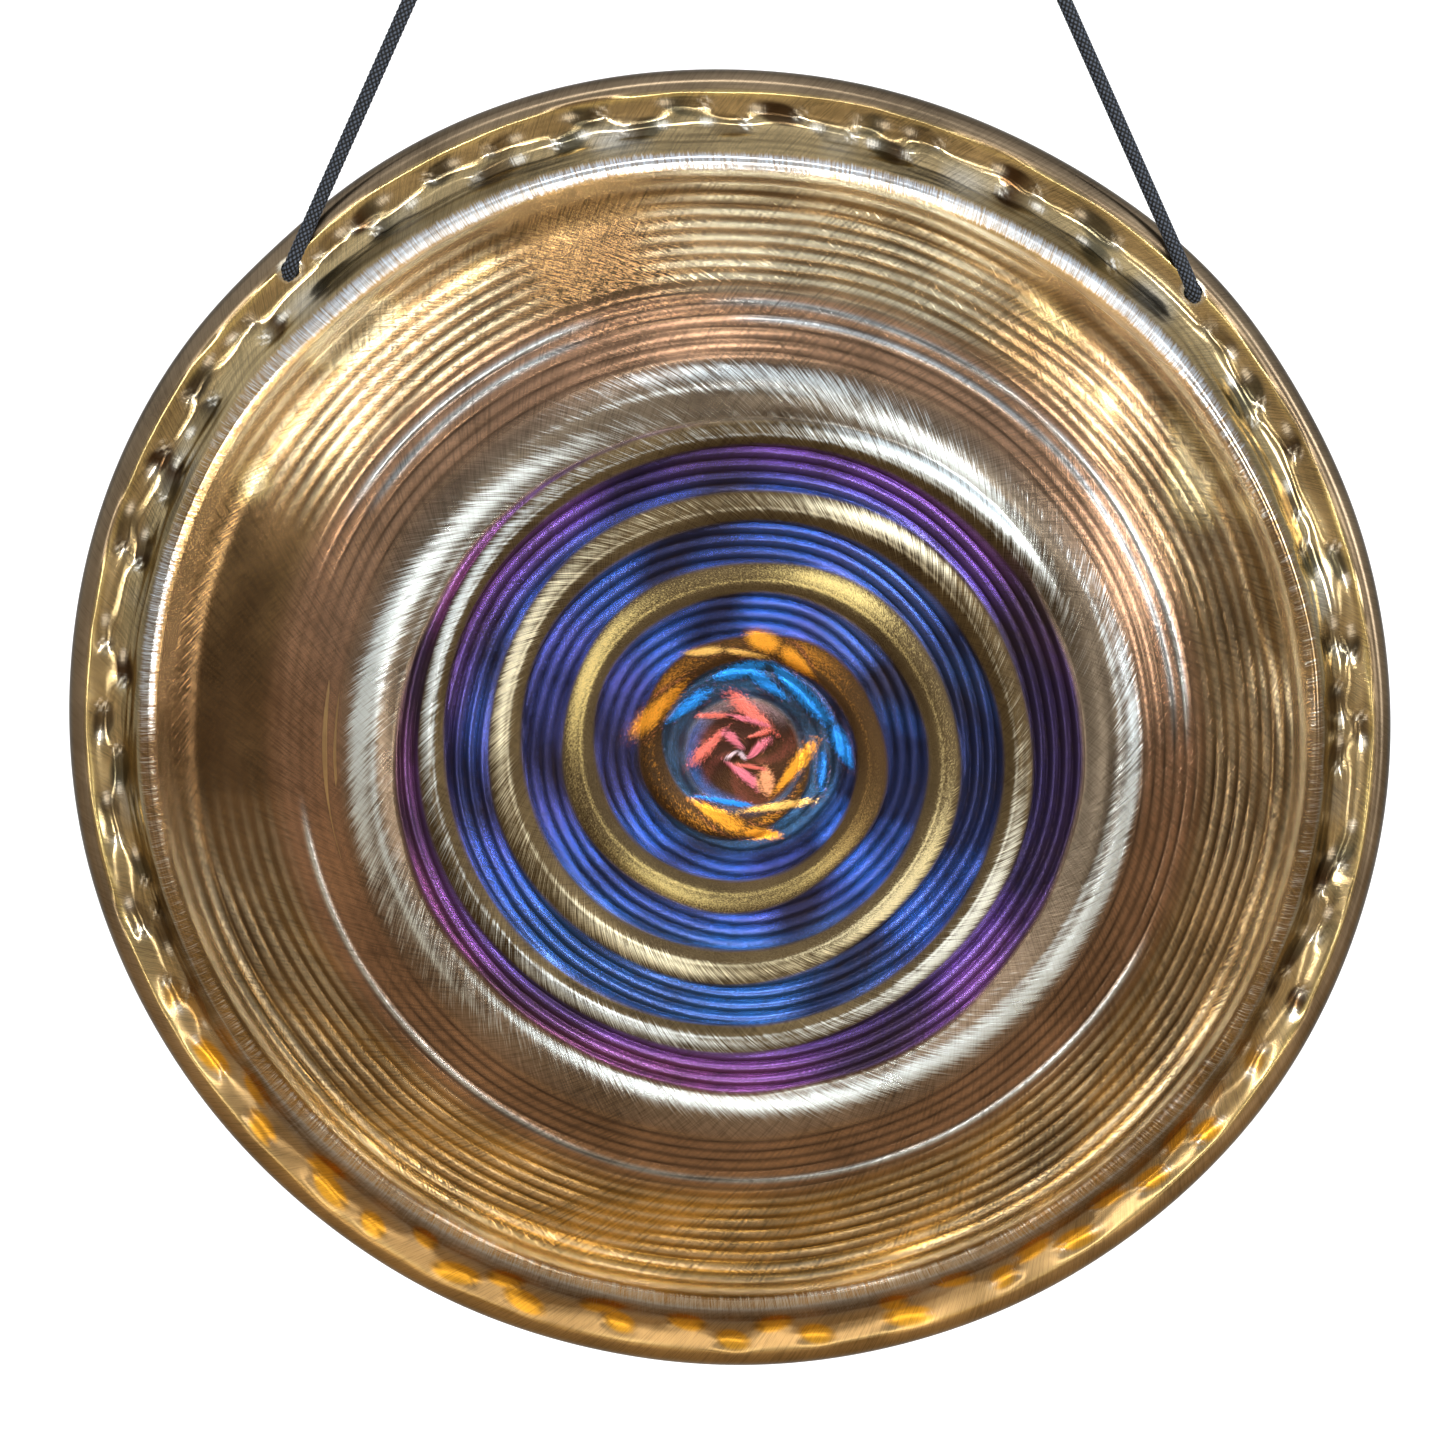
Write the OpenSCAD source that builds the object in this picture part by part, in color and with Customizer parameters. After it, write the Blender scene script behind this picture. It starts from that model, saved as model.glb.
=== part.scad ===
// Hand-hammered tam-tam gong, hung by two braided cord legs from a pair of S-hooks.
// Millimetres, +Z up, the struck face towards -Y. The origin is midway between the
// upper bowls of the two hooks, and the cords hang in the plane y = 0.

/* [Gong] */
// Diameter over the rolled edge
gong_d = 500; // [400:5:600]
// Thickness of the bronze sheet
sheet_t = 1.5; // [1:0.1:2.5]
// How far the rim is turned back behind the rolled edge
rim_depth = 22; // [15:1:40]
// Inward taper of the turned rim, in degrees
rim_taper = 4; // [0:1:8]
// Outside radius of the rolled edge
edge_r = 6; // [4:0.5:8]
// Height of the bead round the coloured middle, in front of the outer edge
bead_rise = 22.5; // [12:0.5:30]
// Height of the middle of the face
middle_rise = 11; // [4:0.5:20]
// Height of the ridge between the bow and the hammered trough
ridge_rise = 13; // [8:0.5:18]

/* [Hanging holes] */
// Diameter of each cord hole
hole_d = 6.5; // [6:0.1:8]
// Distance from the edge to the centre of a hole
hole_inset = 10; // [9:0.5:14]
// Angle from straight up to each hole, in degrees
hole_angle = 43.2; // [38:0.2:50]
// How far the gong hangs turned in its own plane, clockwise seen from the front
hang_roll = 1.4; // [0:0.2:3]

/* [Cord] */
// Diameter of the braided cord
cord_d = 5; // [4:0.5:5.5]
// Lean of each cord leg inwards from vertical, in degrees
leg_lean = 25.8; // [15:0.2:35]
// Height of the lower end of the eye knots above the middle of the gong
knot_rise = 280; // [270:5:320]
// Distance from the eye knot to the wire that the eye hangs on
eye_len = 29; // [26:1:40]

/* [Hooks] */
// Wire diameter of the S-hooks
wire_d = 4; // [3:0.5:5]
// Inside radius of each bowl of a hook
bowl_r = 8; // [7:0.5:10]
// Distance between the two bowl centres of a hook
bowl_gap = 36; // [34:1:50]

/* [Hidden] */
LEFT = -1;
RIGHT = 1;
$fn = 64;

gong_r = gong_d/2;
edge_start = gong_r - edge_r;
hole_r = gong_r - hole_inset;
// Height of the foot of the rolled edge, and of the trough inside it
edge_rise = edge_r - 0.5;
trough_rise = edge_rise - 1.5;

// The face: [radius as a share of the gong's, height], joined by one smooth curve
FACE = [[0, middle_rise], [0.25, middle_rise + 2.5], [0.49, bead_rise - 1.5], [0.56, bead_rise],
    [0.66, ridge_rise + 1], [0.80, ridge_rise - 1.5], [0.876, ridge_rise],
    [0.925, trough_rise], [edge_start/gong_r, edge_rise]];
face_step = 4;
edge_steps = 8;

// Cord and knots
cord_gap = 1;
cord_front = edge_rise + cord_d/2 + cord_gap;
knot_d = 12.5;
knot_len = 12;
knot_round = 3;
tail_len = 12;
leg_start = cord_d/2 + 0.3;
cord_sides = 10;
ring_step = 12;
knot_gap = 0.3;
knot_reach = cord_front - trough_rise + sheet_t + knot_gap;
eye_gap = 0.5;
eye_r = (wire_d + cord_d)/2 + eye_gap;
eye_foot = 2.8;
eye_turn = asin((eye_r - eye_foot)/eye_len);
eye_steps = 10;

// Hooks: the pull runs through the middle of both bowls
bowl_line = bowl_r + wire_d/2;
shank_turn = acos(2*bowl_line/bowl_gap);
tip_turn = 30;

wire_sides = 14;
bowl_steps = 14;
function bowl_arc(from, to, rise) = [for (i = [0:bowl_steps]) let(a = from + i*(to - from)/bowl_steps)
    [0, bowl_line*cos(a), rise + bowl_line*sin(a)]];

// Places, worked out from the hanging
hook_above_knot = knot_len + eye_len + bowl_line + bowl_gap;
drop = knot_rise + hook_above_knot*cos(leg_lean);
function hole_turn(side) = side*hole_angle + hang_roll;
function hole_x(side) = hole_r*sin(hole_turn(side));
function hole_rise(side) = hole_r*cos(hole_turn(side));
// The middle of the gong stands off so that both legs lean by the same angle
gong_x = ((hole_rise(LEFT) - hole_rise(RIGHT))*tan(leg_lean) - hole_x(LEFT) - hole_x(RIGHT))/2;
function leg_len(side) = (knot_rise - hole_rise(side))/cos(leg_lean);

// The face curve, by cubic pieces whose slopes come from the neighbouring points
function slope(i) = i == 0 || i == len(FACE) - 1 ? 0
    : (FACE[i + 1][1] - FACE[i - 1][1])/(FACE[i + 1][0] - FACE[i - 1][0])/gong_r;
function piece(share, i = 0) = i == len(FACE) - 2 || share < FACE[i + 1][0] ? i : piece(share, i + 1);
function face_rise(r) = let(
    i = piece(r/gong_r),
    wide = (FACE[i + 1][0] - FACE[i][0])*gong_r,
    t = (r - FACE[i][0]*gong_r)/wide)
    FACE[i][1]*(1 + 2*t)*pow(1 - t, 2) + slope(i)*wide*t*pow(1 - t, 2)
    + FACE[i + 1][1]*t*t*(3 - 2*t) + slope(i + 1)*wide*t*t*(t - 1);

face_count = floor(edge_start/face_step);
front = concat(
    [for (i = [0:face_count - 1]) [i*face_step, face_rise(i*face_step)]],
    [for (i = [0:edge_steps]) let(a = 90 - i*(90 + rim_taper)/edge_steps)
        [edge_start + edge_r*cos(a), edge_rise - edge_r + edge_r*sin(a)]],
    [[gong_r - rim_depth*tan(rim_taper), -rim_depth]]);
last = len(front) - 1;
function along(i) = front[min(i + 1, last)] - front[max(i - 1, 0)];
function behind(i) = let(d = along(i)/norm(along(i))) front[i] + sheet_t*[d[1], -d[0]];
back = [for (i = [last:-1:0]) i == 0 ? [0, front[0][1] - sheet_t] : behind(i)];

// Puts its children in the gong's own frame: +Z out of the face, +Y up the gong
module at_gong() {
    translate([gong_x, cord_front, -drop])
        rotate([0, hang_roll, 0])
            rotate([90, 0, 0]) children();
}

// Puts its children in a leg's frame: origin where the cord meets its hole, +Z up the leg
module at_leg(side) {
    translate([gong_x + hole_x(side), 0, hole_rise(side) - drop])
        rotate([0, -side*leg_lean, 0]) children();
}

// A tube along points in a plane of constant x, its rings square to the path
module tube(points, d, sides) {
    rings = len(points);
    polyhedron(
        points = [for (i = [0:rings - 1]) let(
                run = points[min(i + 1, rings - 1)] - points[max(i - 1, 0)],
                across = cross(run/norm(run), [1, 0, 0]))
            for (k = [0:sides - 1]) points[i] + d/2*(cos(k*360/sides)*[1, 0, 0] + sin(k*360/sides)*across)],
        faces = concat(
            [[for (k = [0:sides - 1]) k], [for (k = [sides - 1:-1:0]) (rings - 1)*sides + k]],
            [for (i = [0:rings - 2]) for (k = [0:sides - 1]) let(n = (k + 1) % sides)
                [i*sides + k, (i + 1)*sides + k, (i + 1)*sides + n, i*sides + n]]));
}

// A barrel knot standing on z = 0
module knot() {
    rotate_extrude() polygon(concat(
        [[0, 0]],
        [for (a = [-90:15:0]) [knot_d/2 - knot_round + knot_round*cos(a), knot_round + knot_round*sin(a)]],
        [for (a = [0:15:90])
            [knot_d/2 - knot_round + knot_round*cos(a), knot_len - knot_round + knot_round*sin(a)]],
        [[0, knot_len]]));
}

module gong_plate() {
    color([0.72, 0.53, 0.25]) at_gong() difference() {
        rotate_extrude($fn = 180) polygon(concat(front, back));
        for (side = [LEFT, RIGHT])
            rotate([0, 0, -side*hole_angle])
                translate([0, hole_r, 0]) cylinder(d = hole_d, h = gong_r, center = true);
    }
}

// One leg, from just above its hole to the eye knot
module cord(side) {
    steps = round(leg_len(side)/ring_step);
    step = (leg_len(side) - leg_start)/steps;
    color([0.10, 0.11, 0.13]) at_leg(side)
        tube([for (i = [0:steps]) [0, 0, leg_start + i*step]], cord_d, cord_sides);
}

// The knot behind the plate, its tail, and the cord that comes through the hole to the leg
module stopper_knot(side) {
    color([0.10, 0.11, 0.13])
        translate([gong_x + hole_x(side), 0, hole_rise(side) - drop]) {
            sphere(d = cord_d);
            rotate([-90, 0, 0]) {
                cylinder(d = cord_d, h = knot_reach + knot_len + tail_len);
                translate([0, 0, knot_reach]) knot();
            }
        }
}

// The knot that closes a leg's eye
module eye_knot(side) {
    color([0.10, 0.11, 0.13]) at_leg(side) translate([0, 0, leg_len(side)]) knot();
}

// The eye: a loop over the hook's wire whose two sides run down to the knot
module eye(side) {
    turns = [for (a = [-eye_turn:(180 + 2*eye_turn)/eye_steps:180 + eye_turn + 1]) a];
    color([0.10, 0.11, 0.13]) at_leg(side) translate([0, 0, leg_len(side) + knot_len])
        tube(concat([[0, eye_foot, 0]],
            [for (a = turns) [0, eye_r*cos(a), eye_len + eye_r*sin(a)]],
            [[0, -eye_foot, 0]]), cord_d, cord_sides);
}

// An S-hook of round wire, whose pull runs through the middle of both bowls
module hook(side) {
    color([0.75, 0.76, 0.78]) at_leg(side)
        translate([0, 0, leg_len(side) + knot_len + eye_len + bowl_line]) rotate([0, 0, -side*90])
            tube(concat(bowl_arc(180 - tip_turn, 450 - shank_turn, 0),
                bowl_arc(270 - shank_turn, -tip_turn, bowl_gap)), wire_d, wire_sides);
}

gong_plate();
cord(LEFT);  // cord_left
cord(RIGHT);  // cord_right
stopper_knot(LEFT);  // stopper_knot_left
stopper_knot(RIGHT);  // stopper_knot_right
eye_knot(LEFT);  // eye_knot_left
eye_knot(RIGHT);  // eye_knot_right
eye(LEFT);  // eye_left
eye(RIGHT);  // eye_right
hook(LEFT);  // hook_left
hook(RIGHT);  // hook_right
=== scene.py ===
"""A hand-hammered tam-tam gong on two braided cord legs and S-hooks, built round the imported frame.

Shapes are worked out in millimetres and turned into metres when a mesh is made. Angles are in
degrees. In the gong's own frame +X is right, +Y is up and +Z comes out of the struck face.
"""

import math

import bpy
import numpy as np
from mathutils import Matrix, Vector


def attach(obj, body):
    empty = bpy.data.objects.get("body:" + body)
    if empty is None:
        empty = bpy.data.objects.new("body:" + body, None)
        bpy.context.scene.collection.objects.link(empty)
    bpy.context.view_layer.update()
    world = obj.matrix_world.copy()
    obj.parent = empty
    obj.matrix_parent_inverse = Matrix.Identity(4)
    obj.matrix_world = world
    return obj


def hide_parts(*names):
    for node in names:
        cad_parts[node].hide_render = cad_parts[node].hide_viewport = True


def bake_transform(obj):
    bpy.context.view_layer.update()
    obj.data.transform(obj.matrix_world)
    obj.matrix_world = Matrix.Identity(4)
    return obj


MM = 0.001
LEFT, RIGHT = -1, 1
SIDE_NAMES = {LEFT: "left", RIGHT: "right"}

# The gong, as in the frame
GONG_R = 250.0
SHEET = 1.5
EDGE_R = 6.0
EDGE_START = GONG_R - EDGE_R
EDGE_RISE = 5.5
RIM_DEPTH = 22.0
RIM_TAPER = 4.0
HOLE_R = 240.0
HOLE_RADIUS = 3.25
HOLE_TURN = 43.2
HOLES = (90 - HOLE_TURN, 90 + HOLE_TURN)
HANG_ROLL = 1.4
CORD_FRONT = 9.0
DROP = 358.328
GONG_X = -2.33403
FACE = [(0, 11), (0.25, 13.5), (0.49, 21), (0.56, 22.5), (0.66, 14), (0.80, 11.5), (0.876, 13),
        (0.925, 4), (EDGE_START / GONG_R, EDGE_RISE)]

# The sling, as in the frame
CORD_D = 5.0
LEG_LEAN = 25.8
KNOT_RISE = 280.0
KNOT_LEN = 12.0
KNOT_REACH = 6.8
TAIL_LEN = 12.0
EYE_LEN = 29.0
EYE_R = 5.0
EYE_FOOT = 2.8
WIRE_D = 4.0
BOWL_R = 10.0
BOWL_GAP = 36.0
TIP_TURN = 30.0

# The camera stands in front of the gong and a little above it
CAMERA_AWAY = 1064.0
CAMERA_UP = 236.0
AIM_UP = 0.477
AIM_LEFT = 0.149
LENS = 71.73
SENSOR = 36.0

FLOOR_DROP = 1.25


# ---------------------------------------------------------------- small helpers

def smooth(low, high, value):
    """0 up to low, 1 from high on, and a smooth rise between."""
    t = np.clip((value - low) / (high - low), 0, 1)
    return t * t * (3 - 2 * t)


def bell(middle, width, value):
    return np.exp(-((value - middle) / width) ** 2)


def unit(value):
    return np.clip(value, 0, 1)


def turn_gap(a, b):
    """Signed difference of two angles, in degrees."""
    return (a - b + 180) % 360 - 180


def polar(r, turn):
    """Distances to the right and up, from a radius and an angle."""
    return r * np.cos(np.radians(turn)), r * np.sin(np.radians(turn))


def sector(turn, middle, half, soft=14):
    """1 within half of the middle, falling to 0 over soft degrees more."""
    return 1 - smooth(half, half + soft, np.abs(turn_gap(turn, middle)))


def sectors(turn, rows):
    """The sum of several sectors, each with its share, middle, half and soft edge."""
    return sum(share * sector(turn, *where) for share, *where in rows)


def waves(turn, seed, orders, size):
    """A smooth random curve round the circle, with a mean of 0 and a swing of about size."""
    draw = np.random.RandomState(seed)
    total = np.zeros_like(turn, dtype=float)
    for order in orders:
        total += draw.uniform(0.4, 1) * np.sin(np.radians(order * turn + draw.uniform(0, 360)))
    return size * total / math.sqrt(len(orders))


def layers(colour, *coats):
    """A colour under coats laid on one after another: each coat is a colour and its share."""
    for coat, share in coats:
        share = np.asarray(share)[..., None]
        colour = np.asarray(colour) * (1 - share) + np.asarray(coat) * share
    return colour


def grid_faces(rows, around, closed=True):
    """Quads between the rows of a grid of points, numbered row by row, which may close round."""
    row, column = np.meshgrid(np.arange(rows - 1), np.arange(around if closed else around - 1), indexing="ij")
    here, after = row * around, (column + 1) % around
    return np.stack([here + column, here + after, here + around + after, here + around + column], axis=-1)


def new_mesh(name, points, faces):
    """A smooth object from points in millimetres and lists of faces with 3 or more corners."""
    mesh = bpy.data.meshes.new(name)
    mesh.from_pydata((np.asarray(points) * MM).tolist(), [], [list(map(int, f)) for f in faces])
    mesh.validate()
    mesh.polygons.foreach_set("use_smooth", np.ones(len(mesh.polygons), bool))
    made = bpy.data.objects.new(name, mesh)
    bpy.context.scene.collection.objects.link(made)
    return made


def store(obj, name, values):
    """Keeps one number, vector or colour for each point of the mesh."""
    values = np.asarray(values, np.float32)
    kind, field = {1: ("FLOAT", "value"), 3: ("FLOAT_VECTOR", "vector"),
                   4: ("FLOAT_COLOR", "color")}[1 if values.ndim == 1 else values.shape[1]]
    attribute = obj.data.attributes.new(name, kind, "POINT")
    attribute.data.foreach_set(field, values.ravel())


# ---------------------------------------------------------------- places

def hole_turn(side):
    return math.radians(side * HOLE_TURN + HANG_ROLL)


def pivot(side):
    """Where a leg's line meets its hole."""
    return np.array([GONG_X + HOLE_R * math.sin(hole_turn(side)), 0,
                     HOLE_R * math.cos(hole_turn(side)) - DROP])


def leg_len(side):
    return (KNOT_RISE - HOLE_R * math.cos(hole_turn(side))) / math.cos(math.radians(LEG_LEAN))


def leg_axes(side):
    """The leg's own X, Y and Z directions: Z runs up the leg."""
    lean = math.radians(-side * LEG_LEAN)
    return np.array([[math.cos(lean), 0, -math.sin(lean)], [0, 1, 0],
                     [math.sin(lean), 0, math.cos(lean)]])


def on_leg(side, points):
    return pivot(side) + np.asarray(points, float) @ leg_axes(side)


def gong_matrix():
    place = Matrix.Translation(Vector((GONG_X, CORD_FRONT, -DROP)) * MM)
    roll = Matrix.Rotation(math.radians(HANG_ROLL), 4, "Y")
    return place @ roll @ Matrix.Rotation(math.radians(90), 4, "X")


# ---------------------------------------------------------------- camera

def make_camera():
    lens = bpy.data.cameras.new("camera")
    lens.lens = LENS
    lens.sensor_width = SENSOR
    eye = bpy.data.objects.new("camera", lens)
    eye.location = Vector((GONG_X, CORD_FRONT - CAMERA_AWAY, CAMERA_UP - DROP)) * MM
    down = math.degrees(math.atan2(CAMERA_UP, CAMERA_AWAY)) - AIM_UP
    eye.rotation_euler = (math.radians(90 - down), 0, math.radians(AIM_LEFT))
    bpy.context.scene.collection.objects.link(eye)
    bpy.context.scene.camera = eye


# ---------------------------------------------------------------- cord, knots and hooks

def resample(points, step):
    """The same line through evenly spaced points."""
    points = np.asarray(points, float)
    along = np.concatenate([[0], np.cumsum(np.linalg.norm(np.diff(points, axis=0), axis=1))])
    count = max(2, int(round(along[-1] / step)) + 1)
    want = np.linspace(0, along[-1], count)
    return np.stack([np.interp(want, along, points[:, i]) for i in range(3)], axis=1)


def arc(centre, across, up, radius, start, end, count):
    """Points on an arc in the plane of two unit directions."""
    turns = np.radians(np.linspace(start, end, count))[:, None]
    return np.asarray(centre) + radius * (np.cos(turns) * np.asarray(across) + np.sin(turns) * np.asarray(up))


def frames(points):
    """Two directions square to the line at each point, which turn as little as they can."""
    runs = np.gradient(points, axis=0)
    runs /= np.linalg.norm(runs, axis=1)[:, None]
    first = np.cross(runs[0], [0.3, 1, 0.2])
    sides = [first / np.linalg.norm(first)]
    for run in runs[1:]:
        side = sides[-1] - run * np.dot(sides[-1], run)
        sides.append(side / np.linalg.norm(side))
    sides = np.array(sides)
    return sides, np.cross(runs, sides)


BRAID_STRANDS = 8
BRAID_PITCH = 2.3
BRAID_DEPTH = 0.5
BRAID_MEAN = 0.72
BRAID_UNDER = 0.45
END_ROUND = 0.3


def braid(around, along):
    """How high the braid stands, from 0 to 1."""
    p = BRAID_STRANDS * around + along / BRAID_PITCH
    q = BRAID_STRANDS * around - along / BRAID_PITCH
    in_p, in_q = 1 - (2 * (p % 1) - 1) ** 2, 1 - (2 * (q % 1) - 1) ** 2
    p_over = (np.floor(p) + np.floor(q)) % 2 > 0.5
    over_p, over_q = BRAID_UNDER + (1 - BRAID_UNDER) * in_q, BRAID_UNDER + (1 - BRAID_UNDER) * in_p
    return np.where(p_over, in_p * over_p, in_q * over_q)


def tube(name, line, radius, around, material):
    """A closed tube along a line. The radius has a row for each point of the line."""
    sides, ups = frames(line)
    angle = (2 * math.pi * np.arange(around) / around)[None, :, None]
    spokes = np.cos(angle) * sides[:, None, :] + np.sin(angle) * ups[:, None, :]
    points = line[:, None, :] + radius[..., None] * spokes
    made = new_mesh(name, points.reshape(-1, 3), tube_faces(len(line), around))
    made.data.materials.append(material)
    return made


def rope(name, points, d, material, step=0.28, around=56):
    """A braided cord along a line, with rounded ends."""
    line = resample(points, step)
    along = np.arange(len(line)) * step
    high = braid(np.arange(around)[None, :] / around, along[:, None])
    near = np.minimum(along, along[::-1]) / (d * END_ROUND)
    round_off = np.where(near < 1, np.sqrt(np.clip(1 - (1 - near) ** 2, 0.02, 1)), 1)
    radius = (d / 2 + BRAID_DEPTH * (high - BRAID_MEAN)) * round_off[:, None]
    made = tube(name, line, radius, around, material)
    store(made, "strand_high", high.ravel())
    return made


def tube_faces(rows, around):
    """The faces of a closed tube, with its two ends."""
    ends = [list(range(around))[::-1], list(range((rows - 1) * around, rows * around))]
    return grid_faces(rows, around).reshape(-1, 4).tolist() + ends


BEND_R = 10.0
BEND_START = -72
BEND_RISE = BEND_R - 3.4
KNOT_OVERLAP = 2


def leg_line(side):
    """From behind the sheet, up through the hole and along the leg's line to the eye knot."""
    centre = on_leg(side, [0, BEND_R, BEND_RISE])
    up = leg_axes(side)[2]
    bend = arc(centre, [0, -1, 0], up, BEND_R, BEND_START, 0, 14)
    straight = [on_leg(side, [0, 0, z]) for z in np.linspace(BEND_R, leg_len(side) + KNOT_OVERLAP, 24)]
    return np.concatenate([bend, straight])


def knot_line(wraps, radius, start, end, phase):
    """A coil of cord round +Z, its ends tucked in towards the middle."""
    turns = np.linspace(0, wraps * 360, int(wraps * 28))
    tuck = 0.25 + 0.75 * smooth(0, 70, turns) * smooth(0, 70, turns[-1] - turns)
    return np.stack([*polar(radius * tuck, turns + phase), np.linspace(start, end, len(turns))], axis=1)


KNOT_STEP, KNOT_AROUND = 0.35, 44
WRAP_R, WRAP_D, WRAP_INSET = 3.7, 4.6, 2.3
OVER_R, OVER_D = 4.15, 4.0


def knot_pieces(name, place, material, crossing):
    """Two wraps of cord and one strand laid across them."""
    wraps = knot_line(2.35, WRAP_R, WRAP_INSET, KNOT_LEN - WRAP_INSET, crossing)
    coil = rope(name + "_wraps", place(wraps), WRAP_D, material, KNOT_STEP, KNOT_AROUND)
    turns = np.linspace(-75, 75, 24)
    rise = KNOT_LEN / 2 + turns / 75 * 3.6
    across = np.stack([*polar(OVER_R, crossing + 100 + turns * 0.75), rise], axis=1)
    strand = np.concatenate([[across[0] * [0.4, 0.4, 1]], across, [across[-1] * [0.4, 0.4, 1]]])
    return [coil, rope(name + "_over", place(strand), OVER_D, material, KNOT_STEP, KNOT_AROUND)]


def make_leg(side, material):
    line = leg_line(side)
    name = SIDE_NAMES[side]
    leg = rope("cord_leg_" + name, line, CORD_D, material)
    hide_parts("cord_" + name)
    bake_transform(leg)
    length = np.linalg.norm(np.diff(line, axis=0), axis=1).sum() * MM
    return leg, line, length


def make_eye_knot(side, material):
    name = SIDE_NAMES[side]
    pieces = knot_pieces("eye_knot_" + name, lambda p: on_leg(side, np.asarray(p) + [0, 0, leg_len(side)]),
                         material, 200 if side == LEFT else 300)
    for piece in pieces:
        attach(piece, "sling")
    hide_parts("eye_knot_" + name)
    return pieces


def make_eye(side, material):
    """The loop over the hook's wire, whose two sides come out of the knot."""
    name = SIDE_NAMES[side]
    lean = math.degrees(math.asin((EYE_R - EYE_FOOT) / EYE_LEN))
    loop = arc([0, 0, EYE_LEN], [0, 1, 0], [0, 0, 1], EYE_R, -lean, 180 + lean, 24)
    foot = [[0, EYE_FOOT - 0.2, -3], [0, EYE_FOOT, 0]]
    local = np.concatenate([foot, loop, np.array(foot[::-1]) * [1, -1, 1]])
    eye = rope("eye_" + name, on_leg(side, local + [0, 0, leg_len(side) + KNOT_LEN]), CORD_D, material)
    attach(eye, "sling")
    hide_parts("eye_" + name)


def make_stopper(side, cord_material, burnt_material):
    """The knot behind the sheet, its tail, and the melted end of the tail."""
    name = SIDE_NAMES[side]

    def place(points):
        points = np.asarray(points, float)
        return pivot(side) + np.stack([points[:, 0], points[:, 2], points[:, 1]], axis=1)

    pieces = knot_pieces("stopper_" + name, lambda p: place(np.asarray(p) + [0, 0, KNOT_REACH]),
                         cord_material, 40 if side == LEFT else 150)
    end = KNOT_REACH + KNOT_LEN + TAIL_LEN
    tail = [[0, -0.012 * max(z - KNOT_REACH - 6, 0) ** 1.5, z]
            for z in np.linspace(KNOT_REACH - 1.5, end - 1.5, 22)]
    pieces.append(rope("tail_" + name, place(tail), CORD_D, cord_material))
    tip = np.array(tail[-1])
    pieces.append(melted_end("tail_tip_" + name, place([tip])[0], burnt_material))
    for piece in pieces:
        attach(piece, "gong")
    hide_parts("stopper_knot_" + name)


TIP_ROWS, TIP_AROUND = 14, 28
TIP_R, TIP_RISE, TIP_BACK = CORD_D / 2 + 0.15, 2.1, 0.8


def melted_end(name, at, material):
    """A lumpy bead, as a flame leaves on the end of a nylon cord."""
    rise, turn = np.meshgrid(np.linspace(0, math.pi / 2, TIP_ROWS),
                             2 * math.pi * np.arange(TIP_AROUND) / TIP_AROUND, indexing="ij")
    lump = 1 + 0.06 * np.sin(3 * turn + 2 * rise) + 0.05 * np.sin(5 * turn + 1)
    radius = TIP_R * np.maximum(np.cos(rise), 0.04) * lump
    bead = np.stack([radius * np.cos(turn), TIP_RISE * np.sin(rise) * lump - TIP_BACK, radius * np.sin(turn)],
                    axis=-1)
    made = new_mesh(name, (at + bead).reshape(-1, 3), tube_faces(TIP_ROWS, TIP_AROUND))
    made.data.materials.append(material)
    return made


HOOK_STEP, HOOK_AROUND = 0.4, 32


def make_hook(side, material):
    """The S-hook's wire, with rounded tips."""
    name = SIDE_NAMES[side]
    shank = math.degrees(math.acos(2 * BOWL_R / BOWL_GAP))
    across, up = [side, 0, 0], [0, 0, 1]
    base = leg_len(side) + KNOT_LEN + EYE_LEN + BOWL_R
    low = arc([0, 0, base], across, up, BOWL_R, 180 - TIP_TURN, 450 - shank, 60)
    high = arc([0, 0, base + BOWL_GAP], across, up, BOWL_R, 270 - shank, -TIP_TURN, 60)
    line = resample(on_leg(side, np.concatenate([low, high])), HOOK_STEP)
    along = np.arange(len(line)) * HOOK_STEP
    near = unit(1 - np.minimum(along, along[::-1]) / (WIRE_D / 2))
    radius = WIRE_D / 2 * np.sqrt(np.clip(1 - near ** 2, 0.003, 1))
    hook = tube("s_hook_" + name, line, radius[:, None], HOOK_AROUND, material)
    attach(hook, "hooks")
    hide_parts("hook_" + name)


def make_sling(materials):
    for side in (LEFT, RIGHT):
        leg, line, length = make_leg(side, materials["cord"])
        knot = make_eye_knot(side, materials["cord"])
        make_eye(side, materials["cord"])
        make_stopper(side, materials["cord"], materials["burnt"])
        make_hook(side, materials["steel"])


# ---------------------------------------------------------------- the gong's shape

COLUMNS = 900
BLOCK = 8
BLOCK_HOLE = 4
BLOCK_IN = 6.0
BLOCK_OUT = EDGE_START - HOLE_R


def face_rise(r):
    """Height of the plain face, by the same smooth curve as the frame's."""
    at = np.array([share * GONG_R for share, _ in FACE])
    high = np.array([rise for _, rise in FACE], float)
    slope = np.zeros(len(at))
    slope[1:-1] = (high[2:] - high[:-2]) / (at[2:] - at[:-2])
    i = np.clip(np.searchsorted(at, r, side="right") - 1, 0, len(at) - 2)
    wide = at[i + 1] - at[i]
    t = np.clip((r - at[i]) / wide, 0, 1)
    return (high[i] * (1 + 2 * t) * (1 - t) ** 2 + slope[i] * wide * t * (1 - t) ** 2
            + high[i + 1] * t * t * (3 - 2 * t) + slope[i + 1] * wide * t * t * (t - 1))


def middle_shift(r):
    """How far the hand-turned rings lie to the right of the rim's middle."""
    return 4.8 * (1 - smooth(110, 244, r))


# The polished spiral
ARM_START = 127.0
ARM_START_TURN = 30.0
ARM_PITCH = 27.2
ARM_HALF = 6.6
ARM_RISE = 1.9
CORE_R = 21.0

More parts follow.
